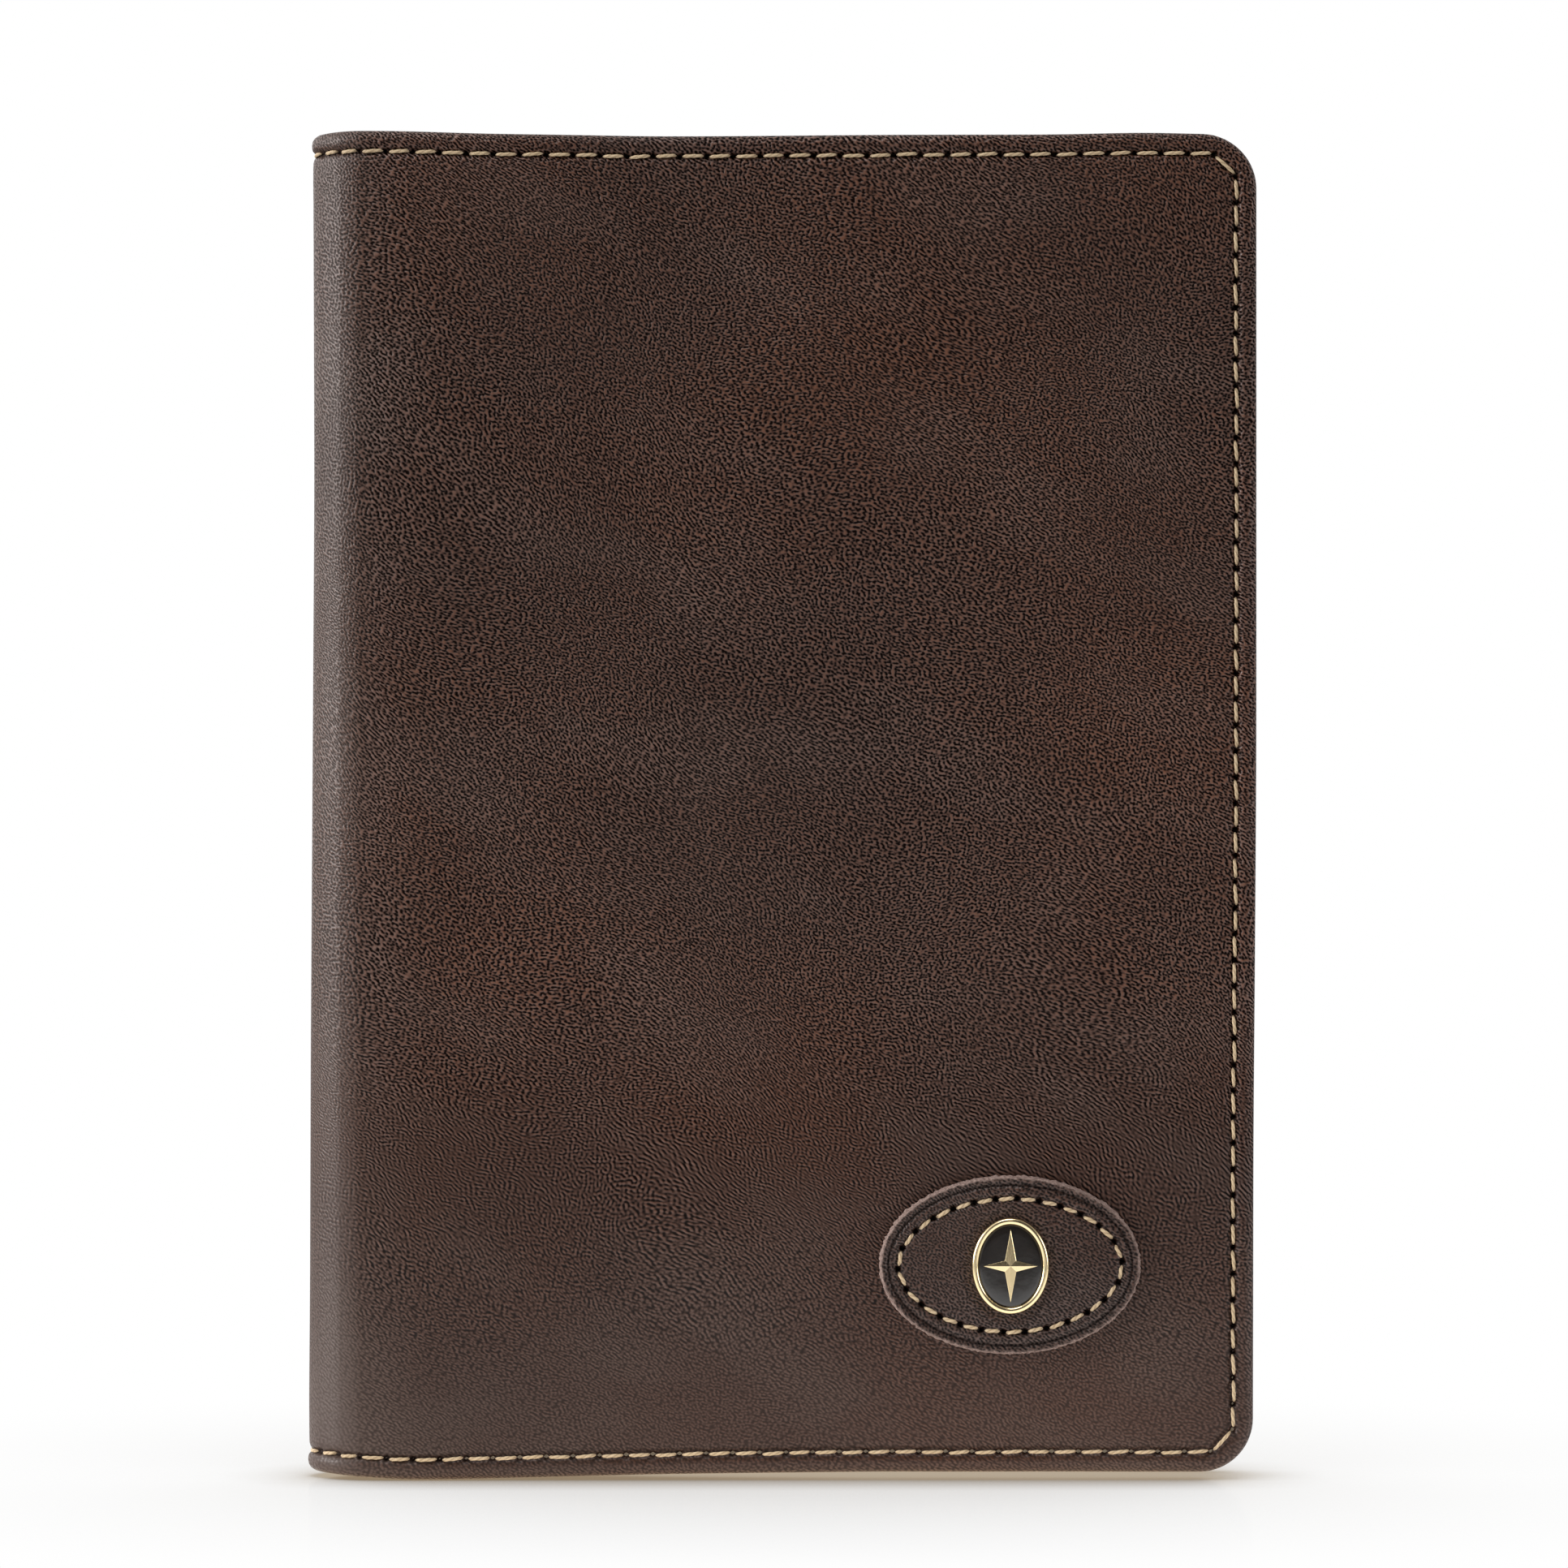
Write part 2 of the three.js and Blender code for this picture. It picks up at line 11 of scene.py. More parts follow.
import bpy
import numpy as np
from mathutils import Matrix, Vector


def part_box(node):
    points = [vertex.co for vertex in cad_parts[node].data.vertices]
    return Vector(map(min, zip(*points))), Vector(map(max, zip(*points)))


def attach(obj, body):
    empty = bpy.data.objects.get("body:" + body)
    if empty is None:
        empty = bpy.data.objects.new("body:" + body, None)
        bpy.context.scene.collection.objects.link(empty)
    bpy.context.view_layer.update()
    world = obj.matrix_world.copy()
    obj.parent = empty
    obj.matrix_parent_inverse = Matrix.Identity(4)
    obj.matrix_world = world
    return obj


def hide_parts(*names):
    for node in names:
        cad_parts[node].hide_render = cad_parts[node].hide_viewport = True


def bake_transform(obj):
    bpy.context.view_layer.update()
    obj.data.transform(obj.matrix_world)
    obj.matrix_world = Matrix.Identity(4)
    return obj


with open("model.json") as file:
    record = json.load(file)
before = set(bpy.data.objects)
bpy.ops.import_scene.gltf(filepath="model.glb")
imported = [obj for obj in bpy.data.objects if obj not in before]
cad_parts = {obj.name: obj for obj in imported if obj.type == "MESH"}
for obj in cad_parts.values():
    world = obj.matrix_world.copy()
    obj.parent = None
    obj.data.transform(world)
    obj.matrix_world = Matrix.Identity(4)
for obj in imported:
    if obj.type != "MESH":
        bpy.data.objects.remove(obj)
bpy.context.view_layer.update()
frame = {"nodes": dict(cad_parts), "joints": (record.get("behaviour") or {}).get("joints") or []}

MM = 0.001

# ---------------------------------------------------------------- sizes taken from the frame, in mm


def box(node):
    low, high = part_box(node)
    return np.array(low) / MM, np.array(high) / MM


front_low, front_high = box("front_outer_leather")
back_low, back_high = box("back_outer_leather")
Y_FRONT, Y_BACK = front_low[1], back_high[1]
X_LEFT, X_RIGHT = box("spine_middle_leather")[0][0], front_high[0]
HEIGHT = front_high[2]
RADIUS = (Y_BACK - Y_FRONT) / 2  # of the spine's half round
X_SPINE, Y_SPINE = X_LEFT + RADIUS, (Y_BACK + Y_FRONT) / 2
ARC = math.pi * RADIUS / 2  # half of the spine's length along its outer face
S_MAX = ARC + X_RIGHT - X_SPINE
COVER = 2.1  # thickness of a cover at its turned edge
CORNER = 5.7
SEAM, CHAMFER, PITCH = 2.2, 2.3, 2.8
LINING_INSET = 1.0
LINING_TOP, LINING_UNDER = 2.4, 2.12


def front_s(x):
    """Sheet coordinate of a place on the front cover."""
    return ARC + x - X_SPINE


def front_depths(node):
    low, high = box(node)
    return low[1] - Y_FRONT, high[1] - Y_FRONT


def back_depths(node):
    low, high = box(node)
    return Y_BACK - high[1], Y_BACK - low[1]


# ---------------------------------------------------------------- soft shapes


def smooth(x, low=0.0, high=1.0):
    t = np.clip((x - low) / (high - low), 0, 1)
    return t * t * (3 - 2 * t)


def bump(x, width):
    return np.exp(-((x / width) ** 2))


def ripple(seed, wavelength, count=28):
    """A smooth random height over the sheet, of unit spread."""
    rng = np.random.default_rng(seed)
    angle = rng.uniform(0, 2 * math.pi, count)
    wave = 2 * math.pi / (wavelength * rng.uniform(0.7, 1.6, count))
    phase = rng.uniform(0, 2 * math.pi, count)

    def height(s, z):
        total = np.zeros(np.shape(s))
        for a, k, p in zip(angle, wave, phase):
            total += np.cos(k * (s * math.cos(a) + z * math.sin(a)) + p)
        return total / math.sqrt(count / 2)

    return height


def soft_curve(places, values, blur):
    """A curve through values at places, with its bends rounded over about blur mm."""
    step, count, past = 0.25, 60, 20
    fine = np.arange(places[0] - past, places[-1] + past, step)
    rough = np.interp(fine, places, values)
    kernel = np.exp(-((np.arange(-count, count + 1) * step / blur) ** 2))
    padded = np.pad(rough, count, mode="edge")
    even = np.convolve(padded, kernel / kernel.sum(), mode="valid")
    return lambda x: np.interp(x, fine, even)


# The outline isn't quite straight: how far the top and bottom edges rise along the cover, and how far
# the spine and the fore edge stand out along the height.
top_rise = soft_curve(
    [0, 3, 6, 10, 18, 27, 36, 44, 61, 79, 88, 96, 100],
    [0.35, 0.5, 0.5, 0.45, 0.18, 0.05, -0.12, -0.1, 0.05, 0.08, 0.3, 0.1, 0.0], 3)
bottom_rise = soft_curve(
    [0, 3, 6, 10, 18, 27, 36, 44, 53, 61, 70, 79, 87, 96, 100],
    [0.7, 0.5, 0.3, 0.0, 0.12, 0.36, 0.58, 0.7, 0.8, 0.88, 0.86, 0.88, 0.86, 0.86, 0.86], 3)
spine_flare = soft_curve(
    [0, 3, 20, 45, 70, 105, 135, 142], [0.45, 0.4, 0.26, 0.18, 0.02, -0.2, -0.1, 0.05], 4)
fore_edge_out = soft_curve([0, 35, 52, 75, 142], [-0.35, -0.32, -0.17, 0.0, 0.0], 8)


def wrap(flat):
    """Folds sheet points (s, z, depth) round the spine. Millimetres in and out."""
    s, z, depth = flat[:, 0], flat[:, 1], flat[:, 2]
    turn = np.clip(s, -ARC, ARC) / RADIUS
    along = np.maximum(np.abs(s) - ARC, 0)
    radius = RADIUS - depth
    x = X_SPINE + along - radius * np.cos(turn)
    y = Y_SPINE - radius * np.sin(turn)
    across = x - X_LEFT
    share = z / HEIGHT
    x = x - spine_flare(z) * np.cos(turn) ** 2 + fore_edge_out(z) * (along / (S_MAX - ARC)) ** 2
    z = z + share * top_rise(across) + (1 - share) * bottom_rise(across)
    return np.stack([x, y, z], 1)


def edge_distance(s, z):
    """Distance inwards from the hide's outline."""
    a, b = S_MAX - np.abs(s), np.minimum(z, HEIGHT - z)
    corner = (a < CORNER) & (b < CORNER)
    return np.where(corner, CORNER - np.hypot(CORNER - a, CORNER - b), np.minimum(a, b))


def seam_distance(s, z):
    """Distance inwards from the perimeter seam, negative between the seam and the edge."""
    a, b = S_MAX - SEAM - np.abs(s), np.minimum(z, HEIGHT - z) - SEAM
    return np.minimum(np.minimum(a, b), (a + b - CHAMFER) / math.sqrt(2))


def divide(start, end, pitch):
    """Points from start towards end, evenly spaced about pitch apart, without the end itself."""
    start, end = np.array(start, float), np.array(end, float)
    count = max(1, round(np.linalg.norm(end - start) / pitch))
    return [start + (end - start) * i / count for i in range(count)]


def seam_holes():
    """Needle holes of the perimeter seam, in order round it."""
    a, low, high = S_MAX - SEAM, SEAM, HEIGHT - SEAM
    path = [(CHAMFER - a, low), (a - CHAMFER, low), (a, low + CHAMFER), (a, high - CHAMFER),
            (a - CHAMFER, high), (CHAMFER - a, high), (-a, high - CHAMFER), (-a, low + CHAMFER)]
    holes = [p for start, end in zip(path, path[1:] + path[:1]) for p in divide(start, end, PITCH)]
    return np.array(holes)


HOLES = seam_holes()
NEAR, FAR = 1.0, 9.0


def near_holes(s, z, holes):
    """Distance to the nearest hole where one is near, and FAR elsewhere."""
    nearest = np.full(s.shape, FAR)
    for hs, hz in holes:
        close = (np.abs(s - hs) < NEAR) & (np.abs(z - hz) < NEAR)
        nearest[close] = np.minimum(nearest[close], np.hypot(s[close] - hs, z[close] - hz))
    return nearest


# ---------------------------------------------------------------- meshes


def grid_lines(low, high, fixed, wanted, least=0.12):
    """Sorted grid lines: the ends, the fixed ones, and each wanted one that isn't too close to another."""
    kept = [low, high] + [x for x in fixed if low < x < high]
    for x in wanted:
        if low < x < high and min(abs(x - k) for k in kept) > least:
            kept.append(x)
    return np.array(sorted(kept))


def from_ends(ends, steps):
    """Places these steps in from both ends."""
    return [place for step in steps for place in (ends[0] + step, ends[1] - step)]


def rounded(s, z, reach, span, radius, sides):
    """Moves the grid of a rectangle onto the same rectangle with rounded corners."""
    for side in sides:
        for end in (-1, 1):
            middle_s = reach[side > 0] - side * radius
            middle_z = span[end > 0] - end * radius
            p, q = (s - middle_s) * side / radius, (z - middle_z) * end / radius
            inside = (p > 0) & (q > 0)
            new_s = middle_s + side * radius * p * np.sqrt(np.maximum(1 - q * q / 2, 0))
            new_z = middle_z + end * radius * q * np.sqrt(np.maximum(1 - p * p / 2, 0))
            s, z = np.where(inside, new_s, s), np.where(inside, new_z, z)
    return s, z


def quads(index):
    return np.stack([index[:-1, :-1], index[1:, :-1], index[1:, 1:], index[:-1, 1:]], -1).reshape(-1, 4)


def at_depth(depth):
    """A flat side of a sheet, as a function of s and z."""
    return lambda s, z: np.full(s.shape, depth)


def sheet(s, z, face, under, edge, rings=6, tuck=None):
    """A soft sheet: a grid of points on its face, a rounded edge that stands out by edge, and an underside.
    With tuck, the underside is only a border that wide. Also gives each point's place on the leather's
    grain, which runs on round the edge."""
    index = np.arange(s.size).reshape(s.shape)
    flat = [np.stack([s, z, face(s, z)], -1).reshape(-1, 3)]
    grain = [flat[0]]
    faces = [quads(index)]
    rim = np.concatenate([index[:, 0], index[-1, 1:], index[-2::-1, -1], index[0, -2:0:-1]])
    place = flat[0][rim]
    tangent = np.roll(place[:, :2], -1, 0) - np.roll(place[:, :2], 1, 0)
    tangent /= np.linalg.norm(tangent, axis=1)[:, None]
    normal = np.stack([tangent[:, 1], -tangent[:, 0], np.zeros(len(rim))], 1)
    low = under(place[:, 0], place[:, 1])
    count = s.size
    last = rim
    for ring in range(1, rings + 1):
        angle = math.pi * ring / rings
        out = place + normal * edge * math.sin(angle)
        out[:, 2] += (low - place[:, 2]) * (1 - math.cos(angle)) / 2
        if ring == rings and tuck is None:
            this = rim + count
            flat.append(np.stack([s, z, under(s, z)], -1).reshape(-1, 3))
            grain.append(flat[-1])
            faces.append(quads(index)[:, ::-1] + count)
        else:
            this = np.arange(len(rim)) + count
            flat.append(out)
            grain.append(out + normal * edge * (angle - math.sin(angle)))
            count += len(rim)
        faces.append(np.stack([this, np.roll(this, -1), np.roll(last, -1), last], 1))
        last = this
    if tuck is not None:
        this = np.arange(len(rim)) + count
        flat.append(out - normal * tuck)
        grain.append(grain[-1] + normal * tuck)
        faces.append(np.stack([this, np.roll(this, -1), np.roll(last, -1), last], 1))
    return np.concatenate(flat), np.concatenate(faces), np.concatenate(grain)


def rings_of(loops):
    """A surface through loops of as many points each, with the last loop as its cap."""
    index = np.arange(len(loops) * len(loops[0])).reshape(len(loops), -1)
    closed = np.concatenate([index, index[:, :1]], 1)
    return np.concatenate(loops), quads(closed), index[-1].tolist()


def vertex_normals(points, faces):
    a, b, c, d = (points[faces[:, i]] for i in range(4))
    face_normals = np.cross(c - a, d - b)
    total = np.zeros_like(points)
    for corner in range(4):
        for axis in range(3):
            total[:, axis] += np.bincount(faces[:, corner], face_normals[:, axis], len(points))
    return total / np.maximum(np.linalg.norm(total, axis=1), 1e-12)[:, None]


def facing_out(points, faces):
    """The faces, turned so that they face out of their solid."""
    a, b, c, d = (points[faces[:, i]] for i in range(4))
    volume = np.einsum("ij,ij->i", a, np.cross(b, c) + np.cross(c, d)).sum()
    return faces if volume > 0 else faces[:, ::-1]


def link_mesh(name, points, polygons, grain, material):
    """A mesh object from points in mm, with its places on the grain kept for its material."""
    mesh = bpy.data.meshes.new(name)
    mesh.from_pydata((points * MM).tolist(), [], polygons)
    places = grain.astype(np.float32).ravel()
    mesh.attributes.new("flat", "FLOAT_VECTOR", "POINT").data.foreach_set("vector", places)
    mesh.materials.append(material)
    made = bpy.data.objects.new(name, mesh)
    bpy.context.scene.collection.objects.link(made)
    return made


def make(name, flat, faces, material, values=None, normals=None, cap=None, outward=True, grain=None):
    """A smooth piece from sheet points. Each of values is a number per point that its material reads."""
    points = wrap(flat)
    turned = facing_out(points - points.mean(0), faces) if outward else faces
    polygons = turned.tolist()
    if cap is not None:
        polygons.append(cap if turned is faces else cap[::-1])
    made = link_mesh(name, points, polygons, flat if grain is None else grain, material)
    for key, value in (values or {}).items():
        made.data.attributes.new(key, "FLOAT", "POINT").data.foreach_set("value", value.astype(np.float32))
    made.data.shade_smooth()
    if normals is not None:
        made.data.normals_split_custom_set_from_vertices(normals.tolist())
    return made


# ---------------------------------------------------------------- the bend of the spine


def joint_turn(joint):
    """Where a hinge lies round the spine, as its s on the sheet."""
    x, y, _ = np.array(joint["pos_m"]) / MM
    return RADIUS * math.atan2(Y_SPINE - y, X_SPINE - x)


JOINTS = sorted(frame["joints"], key=joint_turn)
TURNS = [joint_turn(j) for j in JOINTS]
REACH = (TURNS[1] - TURNS[0]) / 2  # half the way from one hinge to the next round the spine
CUTS = [t + REACH for t in TURNS[:-1]]


def across_joint(made, number):
    """Bakes a piece's placement into its mesh at one of the spine's hinges; it also works out the ends of the
    hinge's reach and reads each point's place on the sheet, but uses neither.
    """
    joint, turn = JOINTS[number], TURNS[number]
    ends = wrap(np.array([[turn - REACH, HEIGHT / 2, 0], [turn + REACH, HEIGHT / 2, 0]])) * MM
    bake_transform(made)
    flat = np.zeros(len(made.data.vertices) * 3, np.float32)
    made.data.attributes["flat"].data.foreach_get("vector", flat)


def split_at_spine(names, flat, faces, grain, material, values=None, replaced=None):
    """Makes a sheet that crosses the spine as one piece per hinge, with normals that match at the cuts."""
    normals = vertex_normals(wrap(flat), faces)
    part = np.searchsorted(CUTS, flat[faces][:, :, 0].mean(1))
    for number, name in enumerate(names):
        own = faces[part == number]
        used, renumbered = np.unique(own, return_inverse=True)
        kept = {key: value[used] for key, value in (values or {}).items()}
        made = make(name, flat[used], renumbered.reshape(own.shape), material, kept, normals[used],
                    outward=False, grain=grain[used])
        across_joint(made, number)
        if replaced:
            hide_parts(*replaced[number])


# ---------------------------------------------------------------- materials

ZONE_TURN, ROW_TURN, WAVE_TURN = -0.4, -0.45, 1.15  # how the hide's soft zones and rows of wrinkles lie
WANDER = 9.0  # how far the rows wander, in mm
WEAVE_PITCH = 0.42


class Shader:
    """Adds nodes to one material or world."""

    def __init__(self, owner):
        self.owner = owner
        owner.use_nodes = True
        self.tree = owner.node_tree
        self.tree.nodes.clear()

    def add(self, kind, inputs=None, **settings):
        made = self.tree.nodes.new("ShaderNode" + kind)
        for key, value in settings.items():
            setattr(made, key, value)
        for key, value in (inputs or {}).items():
            if isinstance(value, bpy.types.NodeSocket):
                self.tree.links.new(value, made.inputs[key])
            else:
                made.inputs[key].default_value = value
        return made

    def math(self, operation, a, b=0.0, clamp=False):
        return self.add("Math", {0: a, 1: b}, operation=operation, use_clamp=clamp).outputs[0]

    def attribute(self, name, output="Fac"):
        return self.add("Attribute", attribute_name=name).outputs[output]

    def placed(self, vector, scale=(1, 1, 1), turn=0.0, offset=(0, 0, 0)):
        inputs = {"Vector": vector, "Location": offset, "Rotation": (0, 0, turn), "Scale": scale}
        return self.add("Mapping", inputs).outputs[0]

    def noise(self, vector, scale, detail=2.0, roughness=0.5, output="Fac"):
        inputs = {"Vector": vector, "Scale": scale, "Detail": detail, "Roughness": roughness}
        return self.add("TexNoise", inputs).outputs[output]

    def drawn(self, vector, turn, along, across):
        """Coordinates that stretch a pattern along a direction turned from the first axis, and across it."""
        inputs = {"Vector": vector, "Rotation": (0, 0, turn), "Scale": (along, across, 1)}
        return self.add("Mapping", inputs, vector_type="TEXTURE").outputs[0]

    def pebbles(self, vector, cell, creased, lean):
        """Grain from 0 to 1, with cell pebbles a millimetre, in rows where creased is high. It is a net of
        ridges where lean is positive, and raised dots where it is negative."""
        inputs = {"Vector": vector, "Scale": cell, "Randomness": 0.8}
        dots = self.add("TexVoronoi", inputs, voronoi_dimensions="2D", feature="F1").outputs["Distance"]
        dots = self.math("MULTIPLY", self.math("SUBTRACT", dots, 0.39), lean)
        inputs = {"Vector": vector, "Scale": cell * 0.38, "Frequency": 2.1, "Orientation": WAVE_TURN}
        inputs["Anisotropy"] = creased
        wave = self.add("TexGabor", inputs, gabor_type="2D").outputs["Value"]
        total = self.math("ADD", self.math("MULTIPLY", wave, 0.95), dots)
        return self.span(total, 0.115, 0.835)

    def span(self, value, low, high, to_low=0.0, to_high=1.0):
        inputs = {"Value": value, "From Min": low, "From Max": high, "To Min": to_low, "To Max": to_high}
        return self.add("MapRange", inputs, interpolation_type="SMOOTHSTEP").outputs[0]

    def blend(self, share, a, b):
        return self.add("Mix", {"Factor": share, "A": a, "B": b}, data_type="FLOAT").outputs[0]

    def colour(self, share, a, b, kind="MIX"):
        return self.add("Mix", {0: share, 6: a, 7: b}, data_type="RGBA", blend_type=kind).outputs[2]

    def parts(self, vector):
        return self.add("SeparateXYZ", {0: vector}).outputs

    def bump(self, height, distance):
        return self.add("Bump", {"Height": height, "Distance": distance * MM, "Strength": 1.0}).outputs[0]

    def output(self, kind, surface):
        self.tree.links.new(surface, self.add("Output" + kind).inputs[0])
        return self.owner

    def finish(self, colour, roughness, normal, **more):
        inputs = {"Base Color": colour, "Roughness": roughness, "Normal": normal}
        inputs.update({key.replace("_", " "): value for key, value in more.items()})
        return self.output("Material", self.add("BsdfPrincipled", inputs).outputs[0])


def new_material(name):
    return Shader(bpy.data.materials.new(name))


def rgb(red, green, blue):
    return (red, green, blue, 1.0)


def leather(name, dark, red, grey, grain=1.0, cell=2.9, worn_smooth_with_painted_sheen=False, offset=(0, 0, 0), shine=0.0):
    """Dyed, lightly glazed calf: dark hollows between lighter ridges, in rows of wrinkles in places; the
    darkness of the hollows is partly painted shade, and the ridges' lighter, greyer tint partly a painted
    highlight. Where it is worn by hand, round the spine and along the foot, it is smoother, and greyer from a
    painted sheen."""
    k = new_material(name)
    s, z, _ = k.parts(k.attribute("flat", "Vector"))
    flat = k.placed(k.attribute("flat", "Vector"), offset=offset)
    shift = k.noise(flat, 0.03, 1, 0.5, "Color")
    shift = k.add("VectorMath", {0: shift, 1: (0.5, 0.5, 0.5)}, operation="SUBTRACT").outputs[0]
    shift = k.add("VectorMath", {0: shift, "Scale": WANDER}, operation="SCALE").outputs[0]
    warped = k.add("VectorMath", {0: flat, 1: shift}, operation="ADD").outputs[0]
    creased = k.span(k.noise(k.drawn(flat, ZONE_TURN, 26, 11), 1.0, 2), 0.42, 0.6, 0.2, 0.7)
    lean = k.span(z, 12, 55, -0.62, 0.68) if worn_smooth_with_painted_sheen else 0.68
    ridge = k.pebbles(k.drawn(warped, ROW_TURN, 1.25, 0.85), cell, creased, lean)

    strength = k.span(k.noise(flat, 0.05, 2), 0.3, 0.7, 0.92 * grain, 1.1 * grain)
    cloud = k.span(k.noise(flat, 0.02, 2, 0.5), 0.32, 0.68)
    grey_tone_and_painted_sheen = k.span(k.noise(k.drawn(flat, ZONE_TURN, 24, 11), 1.0, 2, 0.5), 0.42, 0.7, 0.0, 0.15)
    if worn_smooth_with_painted_sheen:
        around = k.math("ABSOLUTE", s)
        spine = k.span(around, ARC - 3.5, ARC + 2.5, 0.4, 1.0)
        foot = k.span(z, 4, 42, 0.32, 1.0)
        strength = k.math("MULTIPLY", strength, k.math("MULTIPLY", spine, foot))
        # Painted sheen: a greyer band round the spine and a fainter one along the foot stand in for the soft
        # light's reflection.
        grey_tone_and_painted_sheen = k.math("ADD", grey_tone_and_painted_sheen, k.span(around, ARC - 4, ARC + 9, 0.23, 0.0))
        grey_tone_and_painted_sheen = k.math("ADD", grey_tone_and_painted_sheen, k.span(z, 5, 45, 0.08, 0.0))
    base = k.colour(cloud, rgb(*dark), rgb(*red))
    base = k.colour(grey_tone_and_painted_sheen, base, rgb(*grey))
    # Painted shade and highlight: the grain's hollows are darkened and its ridges lightened and tinted grey
    # in the colour, on top of the bump's own shading.
    lit = k.math("POWER", ridge, 1.35)
    relief = k.math("MULTIPLY", k.math("SUBTRACT", lit, 0.42), k.math("MULTIPLY", strength, 3.9))
    relief = k.math("MAXIMUM", relief, -0.9)
    # Painted shade in needle holes, seams and grooves darkens the colour and dims the gloss.
    painted_shade_factor = k.math("SUBTRACT", 1.0, k.math("MULTIPLY", k.attribute("painted_shade"), 0.93), clamp=True)
    shade = k.math("MULTIPLY", k.math("ADD", 1.0, relief), painted_shade_factor)
    base = k.colour(1.0, base, k.add("CombineColor", {0: shade, 1: shade, 2: shade}).outputs[0], "MULTIPLY")
    base = k.colour(strength, base, k.colour(lit, rgb(1, 0.85, 0.72), rgb(1, 1.12, 1.3)), "MULTIPLY")
    raw = k.attribute("raw")
    fibres = k.span(k.noise(k.placed(flat, (3, 3, 9)), 1.0, 3, 0.7), 0.3, 0.75)
    base = k.colour(raw, base, k.colour(fibres, rgb(0.12, 0.075, 0.062), rgb(0.4, 0.29, 0.25)))

    rough = k.math("ADD", k.span(ridge, 0, 1, 0.6, 0.4), k.span(cloud, 0, 1, 0.03, -0.04))
    rough = k.math("SUBTRACT", rough, shine)
    rough = k.blend(raw, rough, 0.9)
    gloss = k.math("MULTIPLY", k.blend(strength, 0.42, k.span(ridge, 0.1, 0.9, 0.02, 0.54)), painted_shade_factor)
    height = k.math("MULTIPLY", ridge, strength)
    return k.finish(base, rough, k.bump(height, 0.085), Specular_IOR_Level=gloss)


def thread_look():
    k = new_material("waxed_thread")
    flat = k.attribute("flat", "Vector")
    shade = k.noise(flat, 1.2, 2)
    fibres = k.noise(k.placed(flat, (6, 6, 6)), 1.0, 3, 0.7)
    base = k.colour(shade, rgb(0.46, 0.33, 0.185), rgb(0.66, 0.52, 0.34))
    base = k.colour(k.span(fibres, 0.35, 0.7, 0.0, 0.45), base, rgb(0.35, 0.235, 0.125))
    # Painted shade between the plies and at the holes.
    base = k.colour(k.math("MULTIPLY", k.attribute("painted_crease_shade"), 0.6), base, rgb(0.16, 0.09, 0.045))
    return k.finish(base, k.span(fibres, 0.2, 0.8, 0.45, 0.65), k.bump(fibres, 0.02), Specular_IOR_Level=0.5)


def fabric_look():
    """A fine plain weave."""
    k = new_material("lining_weave")
    flat = k.attribute("flat", "Vector")
    s, z, _ = k.parts(flat)
    count = 2 * math.pi / WEAVE_PITCH
    warp = k.math("SINE", k.math("MULTIPLY", s, count))
    weft = k.math("SINE", k.math("MULTIPLY", z, count))
    weave = k.math("MULTIPLY", warp, weft)
    over = k.span(weave, -1, 1)
    slub = k.noise(k.placed(flat, (0.4, 3, 1)), 1.0, 2)
    base = k.colour(over, rgb(0.05, 0.032, 0.022), rgb(0.115, 0.078, 0.054))
    base = k.colour(k.span(slub, 0.3, 0.7, 0.0, 0.4), base, rgb(0.07, 0.045, 0.03))
    height = k.math("ADD", over, k.math("MULTIPLY", slub, 0.5))
    return k.finish(base, 0.85, k.bump(height, 0.05), Sheen_Weight=0.2)


def board_look():
    k = new_material("grey_board")
    where = k.add("TexCoord").outputs["Object"]
    fibres = k.noise(where, 900, 4, 0.7)
    base = k.colour(fibres, rgb(0.22, 0.17, 0.12), rgb(0.42, 0.34, 0.25))
    return k.finish(base, 0.95, k.bump(fibres, 0.05))


def gold_look():
    k = new_material("gold_plate")
    flat = k.attribute("flat", "Vector")
    brushed = k.noise(k.placed(flat, (9, 1.5, 3), 0.6), 1.0, 3, 0.6)
    base = k.colour(brushed, rgb(0.83, 0.63, 0.33), rgb(0.95, 0.79, 0.5))
    return k.finish(base, k.span(brushed, 0.2, 0.8, 0.14, 0.27), k.bump(brushed, 0.004), Metallic=1.0)


def clinch_look():
    k = new_material("brass_plate")
    where = k.add("TexCoord").outputs["Object"]
    scuffs = k.noise(where, 2500, 3, 0.6)
    base = k.colour(scuffs, rgb(0.5, 0.34, 0.13), rgb(0.75, 0.55, 0.28))
    return k.finish(base, k.span(scuffs, 0.2, 0.8, 0.25, 0.45), k.bump(scuffs, 0.005), Metallic=1.0)


def enamel_look():
    k = new_material("black_enamel")
    flat = k.attribute("flat", "Vector")
    ripples = k.noise(flat, 0.8, 2)
    base = k.colour(ripples, rgb(0.006, 0.005, 0.004), rgb(0.016, 0.012, 0.01))
    return k.finish(base, 0.12, k.bump(ripples, 0.02), Coat_Weight=0.5, Coat_Roughness=0.05)


HIDE = leather("dark_brown_hide", (0.0305, 0.0112, 0.0055), (0.0425, 0.0148, 0.0066), (0.08, 0.057, 0.046),
               worn_smooth_with_painted_sheen=True)
PATCH = leather("badge_hide", (0.026, 0.0108, 0.0064), (0.033, 0.0142, 0.0084), (0.055, 0.041, 0.034),
                grain=0.6, cell=3.2, offset=(31, 17, 5), shine=0.05)
POCKET = leather("pocket_leather", (0.034, 0.014, 0.0078), (0.046, 0.0192, 0.0104), (0.06, 0.045, 0.037),
                 grain=0.8, cell=3.1, offset=(13, 45, 3))
THREAD, LINING = thread_look(), fabric_look()
GOLD, ENAMEL = gold_look(), enamel_look()
BOARD, CLINCH = board_look(), clinch_look()

